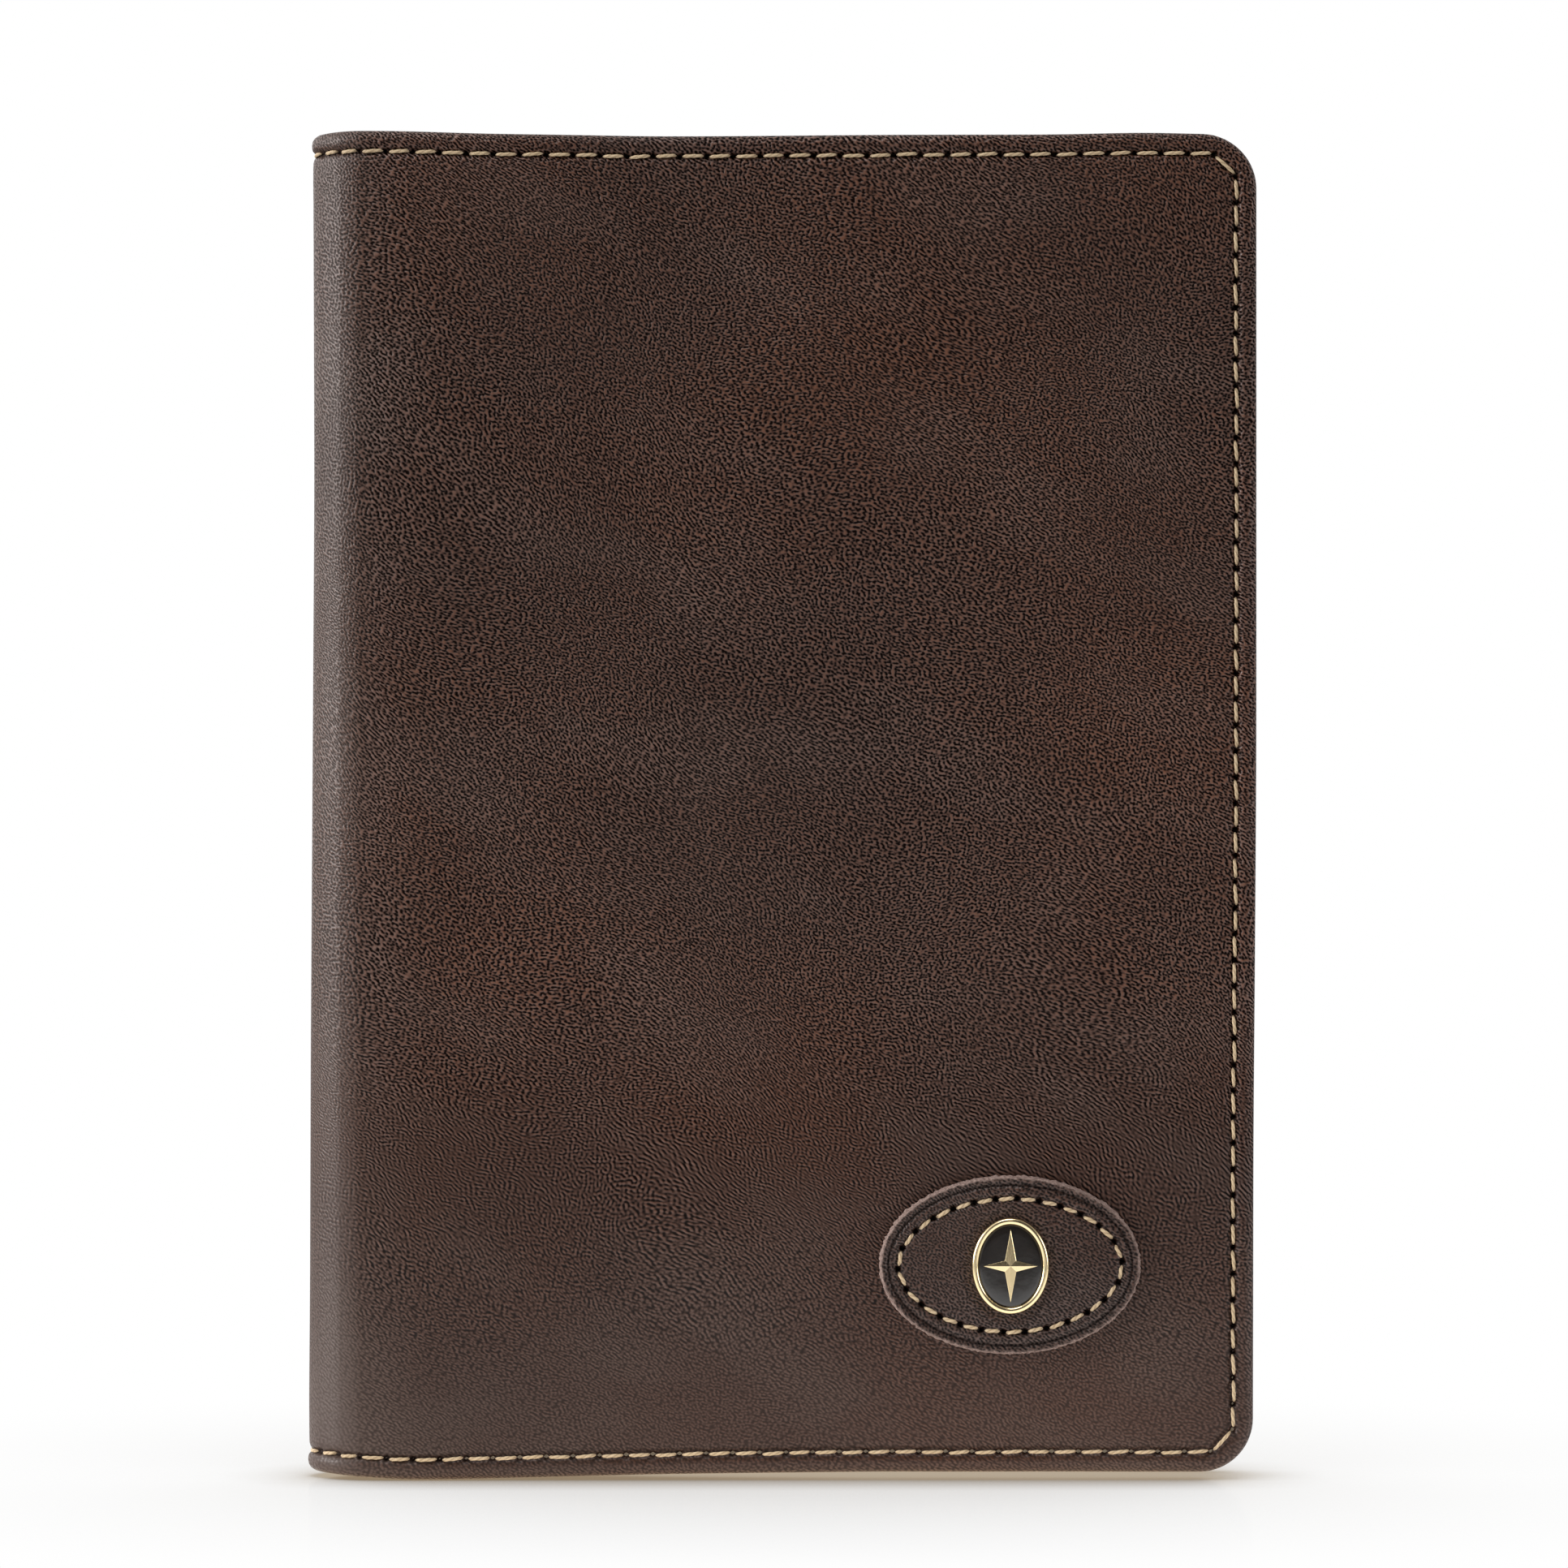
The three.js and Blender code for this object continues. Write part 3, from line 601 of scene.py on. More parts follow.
# ---------------------------------------------------------------- the hide

swell = ripple(11, 42)
quilt = ripple(12, 11)
pucker = ripple(13, 4.5)
ROLL_DEPTH, ROLL_START, ROLL_LENGTH = 0.62, ARC - 4, 13.0
GROOVE_DEPTH, GROOVE_WIDTH = 0.32, 0.42
HOLE_DEPTH, HOLE_WIDTH = 0.42, 0.27
FOOT_SINK, FOOT_HEIGHT = 0.45, 30.0


def spine_roll(s):
    """How far the covers curve in before they reach the half round of the spine."""
    out = np.abs(s)
    share = np.clip((out - ROLL_START) / ROLL_LENGTH, 0, 1)
    return ROLL_DEPTH * smooth(out, 0, ROLL_START) * (1 - share) ** 3 * (1 + 3 * share)


def hide_height(s, z):
    """How far the outer face stands out of the CAD's flat face."""
    seam, edge = seam_distance(s, z), edge_distance(s, z)
    cover = smooth(np.abs(s), ARC - 1, ARC + 14)
    height = (0.13 * swell(s, z) + 0.026 * quilt(s, z)) * smooth(seam, 0.5, 14) * cover - spine_roll(s)
    height -= FOOT_SINK * (1 - smooth(z, 0, FOOT_HEIGHT)) ** 1.5 * cover
    beside_seam = smooth(seam, -1.2, -0.2) * (1 - smooth(seam, 3, 9))
    height += 0.018 * pucker(s, z) * beside_seam * (0.4 + 0.6 * cover)
    height -= GROOVE_DEPTH * bump(seam, GROOVE_WIDTH)
    height -= 0.13 * np.where(seam > 0, np.exp(-np.abs(seam) / 2.4), np.exp(-np.abs(seam) / 0.5))
    height += 0.05 * bump(seam + 1.0, 0.55)
    away = near_holes(s, z, HOLES)
    return height - HOLE_DEPTH * bump(away, HOLE_WIDTH) + 0.05 * bump(away - 0.5, 0.18)


def build_hide():
    edge = COVER / 2
    reach, span = (edge - S_MAX, S_MAX - edge), (edge, HEIGHT - edge)
    edge_steps = [0.22, 0.44, 0.64, 0.8, 0.96, 1.15, 1.34, 1.55, 1.85, 2.3, 2.9, 3.7, 4.6]
    offsets = [0.0, -0.2, 0.2, -0.45, 0.45]

    def lines(ends, holes, fixed):
        holes = np.array(sorted(set(np.round(holes, 6))))
        wanted = [h + o for o in offsets for h in holes] + list((holes[1:] + holes[:-1]) / 2)
        return grid_lines(*ends, fixed + from_ends(ends, edge_steps), wanted)

    along_s = np.abs(HOLES[:, 1] - HEIGHT / 2) > HEIGHT / 2 - SEAM - 0.01
    along_z = np.abs(HOLES[:, 0]) > S_MAX - SEAM - 0.01
    s_lines = lines(reach, HOLES[along_s, 0], CUTS)
    z_lines = lines(span, HOLES[along_z, 1], [])
    s, z = np.meshgrid(s_lines, z_lines, indexing="ij")
    s, z = rounded(s, z, reach, span, CORNER - edge, (-1, 1))

    def face(s, z):
        return -hide_height(s, z)

    flat, faces, grain = sheet(s, z, face, at_depth(COVER), edge, rings=8, tuck=3.0)
    away = near_holes(flat[:, 0], flat[:, 1], HOLES)
    outside = flat[:, 2] < COVER / 2
    seam = seam_distance(flat[:, 0], flat[:, 1])
    # Painted shade in the needle holes and the seam's groove on the outer face.
    painted_shade = np.clip(1.2 * bump(away, HOLE_WIDTH) + 0.4 * bump(seam, 0.26), 0, 1) * outside
    names = ["back_cover_hide", "spine_back_hide", "spine_front_hide", "front_cover_hide"]
    replaced = [["back_outer_leather", "spine_back_leather"], ["spine_middle_leather"],
                ["spine_front_leather"], ["front_outer_leather"]]
    split_at_spine(names, flat, faces, grain, HIDE, {"painted_shade": painted_shade}, replaced)


build_hide()

# ---------------------------------------------------------------- lining, pockets and sleeve

POCKETS = [("card_pocket_top", 21), ("card_pocket_middle", 22), ("card_pocket_bottom", 23)]
weave_ripple = ripple(31, 9)


def inner_painted_shade(flat):
    """Painted shade in the needle holes and seam on the inner leather."""
    away = near_holes(flat[:, 0], flat[:, 1], HOLES)
    seam = seam_distance(flat[:, 0], flat[:, 1])
    return np.clip(bump(away, 0.33) + 0.3 * bump(seam, 0.3), 0, 1)


def build_lining():
    inset = LINING_INSET + 0.15
    reach, span = (inset - S_MAX, S_MAX - inset), (inset, HEIGHT - inset)
    edge_steps = [0.3, 0.7, 1.1, 1.6, 2.4]
    s_lines = grid_lines(*reach, CUTS + from_ends(reach, edge_steps),
                         list(np.arange(-ARC - 3, ARC + 3, 0.4)) + list(np.arange(-100, 100, 1.7)), 0.2)
    z_lines = grid_lines(*span, from_ends(span, edge_steps), np.arange(3, HEIGHT - 2, 1.7), 0.5)
    s, z = np.meshgrid(s_lines, z_lines, indexing="ij")
    s, z = rounded(s, z, reach, span, CORNER - LINING_INSET, (-1, 1))

    def face(s, z):
        wave = 0.03 * weave_ripple(s, z) * smooth(edge_distance(s, z) - LINING_INSET, 0, 4)
        return LINING_TOP + wave - 0.1 * bump(seam_distance(s, z), 0.5)

    flat, faces, grain = sheet(s, z, face, at_depth(LINING_UNDER), 0.1, rings=4)
    names = ["back_cover_lining", "spine_back_lining_sheet", "spine_front_lining_sheet", "front_cover_lining"]
    replaced = [["back_lining", "spine_back_lining"], ["spine_middle_lining"], ["spine_front_lining"],
                ["front_lining"]]
    # Its face is inside the fold, so its faces are turned over.
    split_at_spine(names, flat, faces[:, ::-1], grain, LINING, None, replaced)


build_lining()


def inner_panel(name, node, seed, mouth=True):
    """A leather panel inside the front cover. A mouth is its upper edge, folded over and sewn."""
    low, high = box(node)
    at_foot, at_head = low[2] < 2, high[2] > HEIGHT - 2
    under, top = front_depths(node)
    edge = (top - under) / 2
    inset = seed % 7 * 0.02 + 0.04  # keeps the edges of stacked layers apart
    reach = (front_s(low[0]) + edge, front_s(high[0]) - edge - inset)
    span = (low[2] + edge + (inset if at_foot else 0), high[2] - edge - (0 if mouth else inset))
    warp = ripple(seed, 30)
    fine = ripple(seed + 50, 7)
    steps = [0.15, 0.35, 0.6, 0.85, 1.1, 1.35, 1.6, 1.9, 2.3, 3.0]
    s_lines = grid_lines(*reach, from_ends(reach, steps), np.arange(reach[0] + 4, reach[1] - 3, 1.1), 0.1)
    z_lines = grid_lines(*span, from_ends(span, steps), np.arange(span[0] + 4, span[1] - 3, 1.1), 0.1)
    s, z = np.meshgrid(s_lines, z_lines, indexing="ij")
    whole = (span[0] if at_foot else -HEIGHT, span[1] if at_head else 2 * HEIGHT)
    s, z = rounded(s, z, reach, whole, CORNER - LINING_INSET - edge, (1,))

    def face(s, z):
        seam = np.abs(seam_distance(s, z))
        lip = high[2] - z
        height = (0.035 * warp(s, z) + 0.012 * fine(s, z)) * smooth(seam, 0.5, 6)
        height -= 0.11 * bump(seam, 0.45)
        if mouth:
            height += 0.05 * smooth(2.6 - lip, 0, 0.8) - 0.13 * bump(lip - 1.6, 0.35)
            height -= 0.13 * bump(s - POCKET_SEAM_S, 0.4)
        return top + height - 0.03

    flat, faces, grain = sheet(s, z, face, at_depth(under), edge, rings=5)
    painted_shade = inner_painted_shade(flat) * (flat[:, 2] > (top + under) / 2)
    made = make(name, flat, faces, POCKET, {"painted_shade": painted_shade}, grain=grain)
    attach(made, "front_cover")
    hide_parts(node)


POCKET_SEAM_S = front_s(box("slip_pocket_panel")[0][0]) + 1.7
inner_panel("slip_pocket_leather", "slip_pocket_panel", 24, mouth=False)
for pocket_node, pocket_seed in POCKETS:
    inner_panel(f"{pocket_node}_leather", pocket_node, pocket_seed)

sleeve_low, sleeve_high = box("passport_sleeve")
SLEEVE_UNDER, SLEEVE_TOP = back_depths("passport_sleeve")
SLEEVE_THICKNESS, SLEEVE_RIM, SLEEVE_SCOOP = 0.7, 3.0, 6.0
SLEEVE_BEND = 4 * SLEEVE_SCOOP


def sleeve_free_edge(z):
    """s of the sleeve's free edge, which curves away from the spine at mid height."""
    t = (z - sleeve_low[2]) / (sleeve_high[2] - sleeve_low[2])
    return -front_s(sleeve_low[0]) - SLEEVE_BEND * t * (1 - t)


def build_sleeve():
    edge = SLEEVE_THICKNESS / 2
    inset = 0.1
    span = (sleeve_low[2] + edge + inset, sleeve_high[2] - edge - inset)
    fore = -front_s(sleeve_high[0]) + edge + inset
    steps = [0.15, 0.35, 0.6, 0.85, 1.1, 1.35, 1.6, 2.0, 2.5, 3.0, 3.5, 4.2]
    z_lines = grid_lines(*span, from_ends(span, steps), np.arange(span[0] + 5, span[1] - 4, 1.2), 0.1)
    width = -front_s(sleeve_low[0]) - fore
    across = grid_lines(0, width, from_ends((0, width), steps), np.arange(5, width - 4, 1.2), 0.1)
    u, z = np.meshgrid(across / width, z_lines, indexing="ij")
    s = fore + u * width
    s, z = rounded(s, z, (fore, 0), span, CORNER - LINING_INSET - edge, (-1,))
    u = (s - fore) / width
    s = fore + u * (sleeve_free_edge(z) - edge - fore)
    warp, fine = ripple(41, 34), ripple(42, 8)

    def sewn(s, z):
        """Distance inwards from the three sewn sides."""
        return np.minimum(np.minimum(z - sleeve_low[2], sleeve_high[2] - z), s + front_s(sleeve_high[0]))

    def face(s, z):
        seam, lip = np.abs(seam_distance(s, z)), sleeve_free_edge(z) - s
        height = (0.06 * warp(s, z) + 0.015 * fine(s, z)) * smooth(sewn(s, z), 1, 9)
        height -= 0.3 * (1 - smooth(sewn(s, z), 0.3, 5.5)) + 0.13 * bump(seam, 0.45)
        height += 0.05 * smooth(3.2 - lip, 0, 1) - 0.14 * bump(lip - 2.0, 0.38)
        return SLEEVE_TOP + height

    def under(s, z):
        roof = SLEEVE_TOP - SLEEVE_THICKNESS
        rim = 1 - smooth(sewn(s, z), SLEEVE_RIM - 0.3, SLEEVE_RIM + 0.5)
        return roof - (roof - SLEEVE_UNDER) * rim

    flat, faces, grain = sheet(s, z, face, under, edge, rings=6)
    middle = SLEEVE_TOP - SLEEVE_THICKNESS / 2 - 0.2
    painted_shade = inner_painted_shade(flat) * (flat[:, 2] > middle)
    made = make("passport_sleeve_leather", flat, faces, POCKET, {"painted_shade": painted_shade}, grain=grain)
    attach(made, "back_cover")
    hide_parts("passport_sleeve")


build_sleeve()

# ---------------------------------------------------------------- stitches

OUTER_LEVEL = 0.17
INNER_THREAD = {"width": 0.36, "thick": 0.28, "sink": 0.25}
PLY_PITCH = 1.7


def stitches(starts, ends, level, up, seed, width=0.37, thick=0.32, sink=0.32, slant=0.07, gap=0.3):
    """Short lengths of two-ply thread, each from one needle hole to the next. level is the depth of each
    one's middle, and up is -1 for thread on the outer face and 1 inside."""
    rng = np.random.default_rng(seed)
    count, steps, around = len(starts), 13, 12
    starts, ends = np.array(starts, float), np.array(ends, float)
    level = np.broadcast_to(np.asarray(level, float), (count,))
    way = ends - starts
    length = np.linalg.norm(way, axis=1)[:, None]
    way = way / length
    side = np.stack([-way[:, 1], way[:, 0]], 1)
    t = np.linspace(0, 1, steps)
    rise = 1 - np.abs(2 * t - 1) ** 4
    lean = (slant + rng.normal(0, 0.02, count))[:, None] * (t - 0.5)[None] * 2
    drift = rng.normal(0, 0.025, count)[:, None]
    run = gap + (length - 2 * gap) * t[None]
    centre = starts[:, None] + way[:, None] * run[..., None] + side[:, None] * (lean + drift)[..., None]
    lift = rng.normal(0, 0.015, count)[:, None]
    depth = level[:, None] - up * (sink * (1 - rise)[None] - lift)
    size = (0.35 + 0.65 * np.maximum(rise, 0) ** 0.35)[None, :, None]
    angle = np.linspace(0, 2 * math.pi, around, endpoint=False)
    twist = run / PLY_PITCH * 2 * math.pi + rng.uniform(0, 6.3, count)[:, None]
    lobe = np.cos(2 * (angle[None, None] - twist[..., None]))
    radius = size * (1 + 0.09 * lobe)
    out_s = radius * np.cos(angle) * width / 2
    out_d = radius * np.sin(angle) * thick / 2
    flat = np.empty((count, steps, around, 3))
    flat[..., :2] = centre[:, :, None] + side[:, None, None] * out_s[..., None]
    flat[..., 2] = depth[..., None] + out_d
    # Painted shade: darker between the plies and where the thread sinks into its holes.
    painted_crease_shade = np.clip(-lobe, 0, 1) ** 1.5 + (1 - rise[None, :, None]) * 0.7
    index = np.arange(flat[..., 0].size).reshape(count, steps, around)
    index = np.concatenate([index, index[:, :, :1]], 2)
    faces = np.stack([index[:, :-1, :-1], index[:, 1:, :-1], index[:, 1:, 1:], index[:, :-1, 1:]], -1)
    return flat.reshape(-1, 3), faces.reshape(-1, 4), np.clip(painted_crease_shade, 0, 1).reshape(-1)


def thread_piece(name, starts, ends, level, up, seed, body=None, replaced=(), joint=None, **sizes):
    flat, faces, painted_crease_shade = stitches(starts, ends, level, up, seed, **sizes)
    made = make(name, flat, faces, THREAD, {"painted_crease_shade": painted_crease_shade})
    if joint is None:
        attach(made, body)
    else:
        across_joint(made, joint)
    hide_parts(*replaced)


def inner_level(s, z):
    """Depth of the surface that the perimeter seam lies on inside the holder."""
    level = np.full(s.shape, LINING_TOP)
    for node in ("slip_pocket_panel", "card_pocket_top", "card_pocket_middle", "card_pocket_bottom"):
        low, high = box(node)
        level = np.where((s > front_s(low[0])) & (z < high[2] + 0.5), front_depths(node)[1], level)
    return np.where(s < sleeve_free_edge(z), SLEEVE_TOP - 0.3, level)


def build_seam():
    rng = np.random.default_rng(5)
    holes = HOLES + rng.normal(0, 0.03, HOLES.shape)
    starts, ends = holes, np.roll(holes, -1, 0)
    middle = (starts + ends) / 2
    part = np.searchsorted(CUTS, middle[:, 0])
    inner = inner_level(middle[:, 0], middle[:, 1])
    names = ["back_cover", "spine_back", "spine_front", "front_cover"]
    outer_nodes = [["back_seam_thread", "spine_back_top_thread", "spine_back_bottom_thread"],
                   ["spine_middle_top_thread", "spine_middle_bottom_thread"],
                   ["spine_front_top_thread", "spine_front_bottom_thread"], ["front_seam_thread"]]
    for number, name in enumerate(names):
        own = part == number
        outer = OUTER_LEVEL + spine_roll(middle[own, 0])
        thread_piece(f"{name}_stitches", starts[own], ends[own], outer, -1, 100 + number, joint=number,
                     replaced=outer_nodes[number])
        inside = [node.replace("seam_thread", "thread").replace("_thread", "_inner_thread")
                  for node in outer_nodes[number]]
        thread_piece(f"{name}_inner_stitches", starts[own], ends[own], inner[own] - 0.02, 1, 200 + number,
                     joint=number, replaced=inside, **INNER_THREAD)


build_seam()


def row(start, end, pitch=2.6):
    holes = np.array(divide(start, end, pitch) + [np.array(end, float)])
    return holes[:-1], holes[1:]


for pocket_node, pocket_seed in POCKETS:
    thread_low, thread_high = box(f"{pocket_node}_thread")
    line = (thread_low[2] + thread_high[2]) / 2
    row_starts, row_ends = row((front_s(thread_low[0]), line), (front_s(thread_high[0]), line))
    thread_piece(f"{pocket_node}_stitches", row_starts, row_ends, front_depths(pocket_node)[1] - 0.02, 1,
                 pocket_seed + 300, "front_cover", [f"{pocket_node}_thread"], **INNER_THREAD)

side_low, side_high = box("card_pocket_side_thread")
side_starts, side_ends = row((POCKET_SEAM_S, side_low[2]), (POCKET_SEAM_S, side_high[2]))
side_middle = (side_starts + side_ends) / 2
thread_piece("card_pocket_side_stitches", side_starts, side_ends,
             inner_level(side_middle[:, 0], side_middle[:, 1] + 0.4) - 0.02, 1, 331, "front_cover",
             ["card_pocket_side_thread"], **INNER_THREAD)

scoop_low, scoop_high = box("passport_sleeve_thread")
scoop_z = np.linspace(scoop_low[2], scoop_high[2], 53)
scoop = np.stack([sleeve_free_edge(scoop_z) - 2.0, scoop_z], 1)
thread_piece("passport_sleeve_stitches", scoop[:-1], scoop[1:], SLEEVE_TOP - 0.04, 1, 341, "back_cover",
             ["passport_sleeve_thread"], **INNER_THREAD)

# ---------------------------------------------------------------- badge

badge_low, badge_high = box("badge_patch")
BADGE_S, BADGE_Z = front_s((badge_low[0] + badge_high[0]) / 2), (badge_low[2] + badge_high[2]) / 2
BADGE_A, BADGE_B = (badge_high[0] - badge_low[0]) / 2, (badge_high[2] - badge_low[2]) / 2
BADGE_TOP, BADGE_UNDER = front_depths("badge_patch")
SEAM_A, SEAM_B, SEAM_POINT, SEAM_STITCHES = 11.9, 7.1, 1.9, 26


def badge_seam_line():
    """Points along the badge's seam: an oval with slightly pointed ends."""
    turn = np.linspace(0, 2 * math.pi, 720, endpoint=False)
    cosine, sine = np.cos(turn), np.sin(turn)
    x = SEAM_A * np.sign(cosine) * np.abs(cosine) ** (2 / SEAM_POINT)
    z = SEAM_B * np.sign(sine) * np.abs(sine) ** (2 / SEAM_POINT)
    return np.stack([BADGE_S + x, BADGE_Z + z], 1)


def badge_seam_distance(s, z):
    """Distance inwards from the badge's seam."""
    nearest = np.full(s.shape, np.inf)
    for line_s, line_z in badge_seam_line():
        nearest = np.minimum(nearest, np.hypot(s - line_s, z - line_z))
    inside = (np.abs(s - BADGE_S) / SEAM_A) ** SEAM_POINT + (np.abs(z - BADGE_Z) / SEAM_B) ** SEAM_POINT < 1
    return np.where(inside, nearest, -nearest)


def badge_seam_holes():
    line = badge_seam_line()
    line = np.concatenate([line, line[:1]])
    run = np.concatenate([[0], np.cumsum(np.linalg.norm(np.diff(line, axis=0), axis=1))])
    places = np.linspace(0, run[-1], SEAM_STITCHES, endpoint=False) + 0.4
    return np.stack([np.interp(places, run, line[:, 0]), np.interp(places, run, line[:, 1])], 1)


BADGE_HOLES = badge_seam_holes()
emblem_low, emblem_high = box("emblem_plate")
EMBLEM_A, EMBLEM_B = (emblem_high[0] - emblem_low[0]) / 2, (emblem_high[2] - emblem_low[2]) / 2
EMBLEM_TOP, EMBLEM_UNDER = front_depths("emblem_plate")[0], BADGE_TOP - 0.02
ENAMEL_TOP, ENAMEL_UNDER = front_depths("emblem_enamel")
STAR_X, STAR_Z, STAR_WAIST, RIM = 2.9, 3.9, 0.85, 0.75


def oval_loop(a, b, depth, count):
    turn = np.linspace(0, 2 * math.pi, count, endpoint=False)
    return np.stack([BADGE_S + a * np.cos(turn), BADGE_Z + b * np.sin(turn), np.full(count, depth)], 1)


def oval_distance(s, z, a, b):
    """About the distance inwards from an oval's edge."""
    x, y = (s - BADGE_S) / a, (z - BADGE_Z) / b
    r = np.maximum(np.hypot(x, y), 1e-6)
    slope = np.hypot(x / r / a, y / r / b)
    return (1 - r) / slope


def build_patch():
    count = 300
    ragged = ripple(61, 1.6)
    rounding = [(0.0, 0.0), (0.03, 0.35), (0.08, 0.65), (0.16, 0.87), (0.28, 1.0)]
    thick = BADGE_UNDER - BADGE_TOP
    loops = [oval_loop(BADGE_A - inset, BADGE_B - inset, BADGE_UNDER - share * thick, count)
             for inset, share in rounding]
    scale = 1 - np.concatenate([np.arange(0.03, 0.34, 0.0125), np.arange(0.34, 0.98, 0.016), [0.99]])
    loops += [oval_loop(BADGE_A * r, BADGE_B * r, BADGE_TOP, count) for r in scale]
    flat, faces, cap = rings_of(loops)
    s, z = flat[:, 0], flat[:, 1]
    side = np.arange(len(flat)) < count * (len(rounding) - 1)
    edge, seam = oval_distance(s, z, BADGE_A, BADGE_B), badge_seam_distance(s, z)
    away = near_holes(s, z, BADGE_HOLES)
    height = 0.03 * ripple(62, 7)(s, z) - 0.2 * bump(edge - 0.95, 0.22) + 0.1 * bump(edge - 2.0, 0.8)
    height += -0.28 * bump(seam, 0.36) - 0.1 * np.exp(-np.abs(seam) / 1.2) - 0.4 * bump(away, 0.3)
    height += 0.05 * bump(away - 0.5, 0.18) + 0.12 * smooth(seam, 0.6, 4)
    height -= 0.2 * smooth(oval_distance(s, z, EMBLEM_A, EMBLEM_B), -1.3, 0.1)
    flat[:, 2] -= np.where(side, 0, height)
    grow = np.where(side, 0.06, 0.03 * (1 - smooth(edge, 0, 0.6))) * ragged(s * 3 + flat[:, 2] * 5, z * 3)
    flat[:, 0] += grow * (s - BADGE_S) / BADGE_A
    flat[:, 1] += grow * (z - BADGE_Z) / BADGE_B
    raw = np.where(side, 1.0, 0.9 * (1 - smooth(edge + 0.06 * ragged(s * 2, z * 2), 0.08, 0.42)))
    # Painted shade in the needle holes, the seam and the pressed groove inside the edge.
    painted_shade = np.clip(bump(away, 0.32) * 1.3 + 0.4 * bump(seam, 0.26) + 0.8 * bump(edge - 0.95, 0.17), 0, 1)
    made = make("badge_patch_leather", flat, faces, PATCH,
                {"raw": raw, "painted_shade": np.where(side, 0, painted_shade)}, cap=cap)
    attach(made, "front_cover")
    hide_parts("badge_patch")


build_patch()
thread_piece("badge_stitches", BADGE_HOLES, np.roll(BADGE_HOLES, -1, 0), BADGE_TOP + OUTER_LEVEL, -1, 71,
             "front_cover", ["badge_thread"], slant=0.09, width=0.42)


def star_outline(depth):
    """The star's tips and, between them, its waist."""
    angle = np.arange(8) * math.pi / 4
    reach = np.array([STAR_X, STAR_WAIST, STAR_Z, STAR_WAIST] * 2)
    return np.stack([BADGE_S + reach * np.cos(angle), BADGE_Z + reach * np.sin(angle), np.full(8, depth)], 1)


def medallion_profile(floor):
    """(inset, depth) places up the medallion's side, over its round rim and down to its floor."""
    rim_height = EMBLEM_UNDER - EMBLEM_TOP
    profile = [(0.0, EMBLEM_UNDER), (0.0, EMBLEM_UNDER - 0.45 * rim_height)]
    for step in range(1, 10):
        angle = math.pi * step / 10
        drop = 1 - math.sin(angle)
        depth = EMBLEM_TOP + rim_height * (0.3 * drop + 0.25 * drop ** 2)
        profile.append((RIM / 2 * (1 - math.cos(angle)), depth))
    return profile + [(RIM + 0.01, floor), (RIM + 0.4, floor)]


def emblem_loops(profile, r=1.0):
    return [oval_loop((EMBLEM_A - inset) * r, (EMBLEM_B - inset) * r, depth, 128) for inset, depth in profile]


def build_medallion(floor):
    profile = medallion_profile(floor)
    loops = emblem_loops(profile) + emblem_loops(profile[-1:], 0.66) + emblem_loops(profile[-1:], 0.33)
    flat, faces, cap = rings_of(loops)
    made = make("emblem_medallion", flat, faces, GOLD, cap=cap)
    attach(made, "front_cover")
    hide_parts("emblem_plate")


def build_star(floor):
    """A plain four-pointed star with one peak."""
    peak = [[BADGE_S, BADGE_Z, EMBLEM_TOP - 0.02]]
    points = np.concatenate([star_outline(floor), star_outline(ENAMEL_TOP - 0.12), peak])
    polygons = []
    for corner in range(8):
        following = (corner + 1) % 8
        polygons.append([corner, following, 8 + following, 8 + corner])
        polygons.append([8 + corner, 8 + following, 16])
    star = link_mesh("emblem_star", wrap(points), polygons, points, GOLD)
    bevel = star.modifiers.new("soft_edges", "BEVEL")
    bevel.width, bevel.segments = 0.05 * MM, 2
    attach(star, "front_cover")


def build_enamel():
    """The enamel's pool, whose surface rises from its rim to the middle."""
    inset = RIM + 0.02
    loops = emblem_loops([(inset, ENAMEL_UNDER), (inset, ENAMEL_TOP + 0.1)])
    for r, full in ((0.97, 0.2), (0.9, 0.6), (0.75, 0.9), (0.5, 1.0), (0.25, 1.0), (0.05, 1.0)):
        loops += emblem_loops([(inset, ENAMEL_TOP + 0.07 * (1 - full))], r)
    flat, faces, cap = rings_of(loops)
    made = make("emblem_enamel_pool", flat, faces, ENAMEL, cap=cap)
    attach(made, "front_cover")
    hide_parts("emblem_enamel")


MEDALLION_FLOOR = ENAMEL_UNDER + 0.02
build_medallion(MEDALLION_FLOOR)
build_star(MEDALLION_FLOOR)
build_enamel()

# ---------------------------------------------------------------- CAD nodes that stay


def repaint(node, material):
    shown = frame["nodes"][node]
    shown.data.materials.clear()
    shown.data.materials.append(material)


for board in ("back_stiffener_board", "front_stiffener_board"):
    repaint(board, BOARD)
repaint("emblem_clinch_plate", CLINCH)

# ---------------------------------------------------------------- floor, light and camera


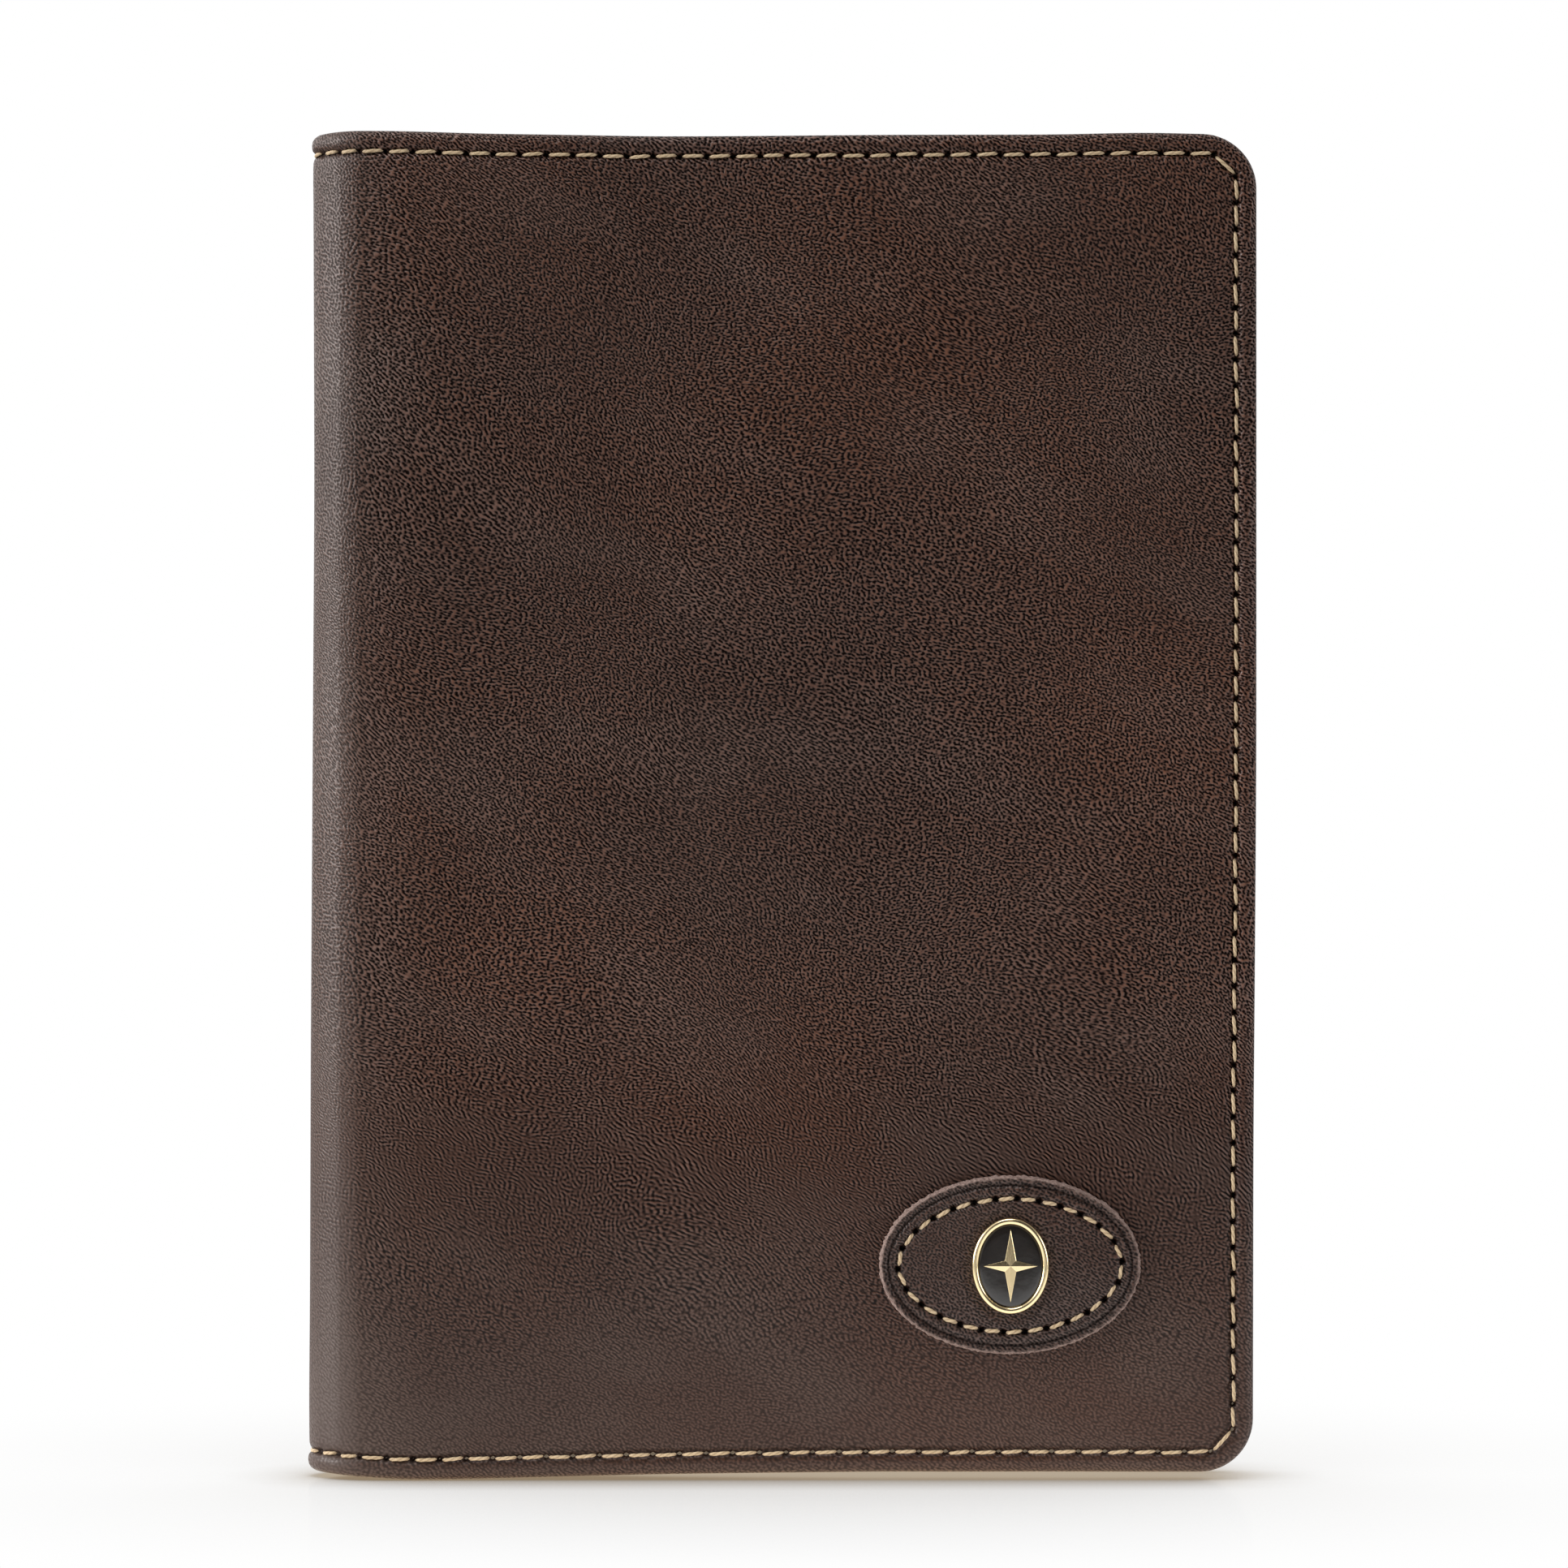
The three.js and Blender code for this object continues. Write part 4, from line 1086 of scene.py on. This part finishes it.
def floor_look():
    """White, with a reflection that fades away from whatever stands on it; close to it the glow turns warm, a
    painted warm reflection.
    """
    k = new_material("white_floor")
    wide = k.add("AmbientOcclusion", {"Distance": 0.08}, samples=8).outputs["AO"]
    close = k.add("AmbientOcclusion", {"Distance": 0.01}, samples=8).outputs["AO"]
    wide_share = k.math("MULTIPLY", k.math("SUBTRACT", 1.0, wide), 0.6)
    close_share = k.math("MULTIPLY", k.math("SUBTRACT", 1.0, close), 0.66)
    share = k.math("ADD", wide_share, close_share)
    # Painted warm reflection: the floor's glow turns orange close to whatever stands on it.
    painted_warm_glow = k.colour(k.math("POWER", k.math("MINIMUM", share, 1.0), 2.0), rgb(1, 1, 1), rgb(1, 0.77, 0.5))
    share = k.math("MINIMUM", share, 0.74)
    place = k.add("TexCoord").outputs["Object"]
    away = k.add("VectorMath", {0: place}, operation="LENGTH").outputs["Value"]
    seen = k.add("LightPath").outputs["Is Camera Ray"]
    lit = k.span(away, 0.03, 0.34, 1.5, 0.2)
    glow = k.add("Emission", {"Color": painted_warm_glow, "Strength": k.blend(seen, lit, 1.0)}).outputs[0]
    mirror = k.add("BsdfGlossy", {"Color": rgb(0.3, 0.27, 0.23), "Roughness": 0.13}).outputs[0]
    mixed = k.add("MixShader", {0: k.math("MULTIPLY", share, seen), 1: glow, 2: mirror}).outputs[0]
    return k.output("Material", mixed)


bpy.ops.mesh.primitive_plane_add(size=8, location=(0, 0, 0))
floor = bpy.context.object
floor.name = "studio_floor"
floor.data.materials.append(floor_look())


def world_look():
    """White to the camera. As light it is bright behind and to the left, and dimmer on the camera's side."""
    k = Shader(bpy.data.worlds.new("studio"))
    x, y, z = k.parts(k.add("TexCoord").outputs["Generated"])
    behind = k.span(y, -0.5, 0.45, 0.06, 0.95)
    left = k.span(k.math("MULTIPLY", x, -1.0), 0.15, 0.9, 0.0, 1.2)
    above = k.span(z, 0.2, 1.0, 0.0, 0.06)
    light = k.math("ADD", k.math("ADD", behind, left), above)
    seen = k.add("LightPath").outputs["Is Camera Ray"]
    strength = k.blend(seen, light, 1.0)
    background = k.add("Background", {"Color": rgb(1, 1, 1), "Strength": strength})
    return k.output("World", background.outputs[0])


bpy.context.scene.world = world_look()


def softbox(name, place, size, power):
    data = bpy.data.lights.new(name, "AREA")
    data.shape = "RECTANGLE"
    data.size, data.size_y = size
    data.energy = power
    light = bpy.data.objects.new(name, data)
    light.location = place
    light.rotation_euler = (LIT_PLACE - Vector(place)).to_track_quat("-Z", "Y").to_euler()
    bpy.context.scene.collection.objects.link(light)


LIT_PLACE = Vector((0, 0, 0.07))
softbox("left_softbox", (-1.2, -0.3, 0.4), (0.5, 0.7), 13.0)
softbox("right_softbox", (1.1, -0.5, 0.2), (0.5, 0.7), 6.0)
softbox("top_softbox", (-0.15, -0.5, 1.2), (0.6, 0.5), 6.0)

VIEW_DISTANCE, VIEW_X, VIEW_Z, VIEW_WIDTH = 650.0, 0.12, 73.5, 165.3
SENSOR = 36
camera_data = bpy.data.cameras.new("camera")
camera_data.sensor_width = SENSOR
camera_data.lens = SENSOR * VIEW_DISTANCE / VIEW_WIDTH
camera_data.clip_start, camera_data.clip_end = 0.05, 20
camera = bpy.data.objects.new("camera", camera_data)
camera.location = (VIEW_X * MM, (Y_FRONT - VIEW_DISTANCE) * MM, VIEW_Z * MM)
camera.rotation_euler = (math.pi / 2, 0, 0)
bpy.context.scene.collection.objects.link(camera)
bpy.context.scene.camera = camera
bpy.context.scene.view_settings.view_transform = "Standard"
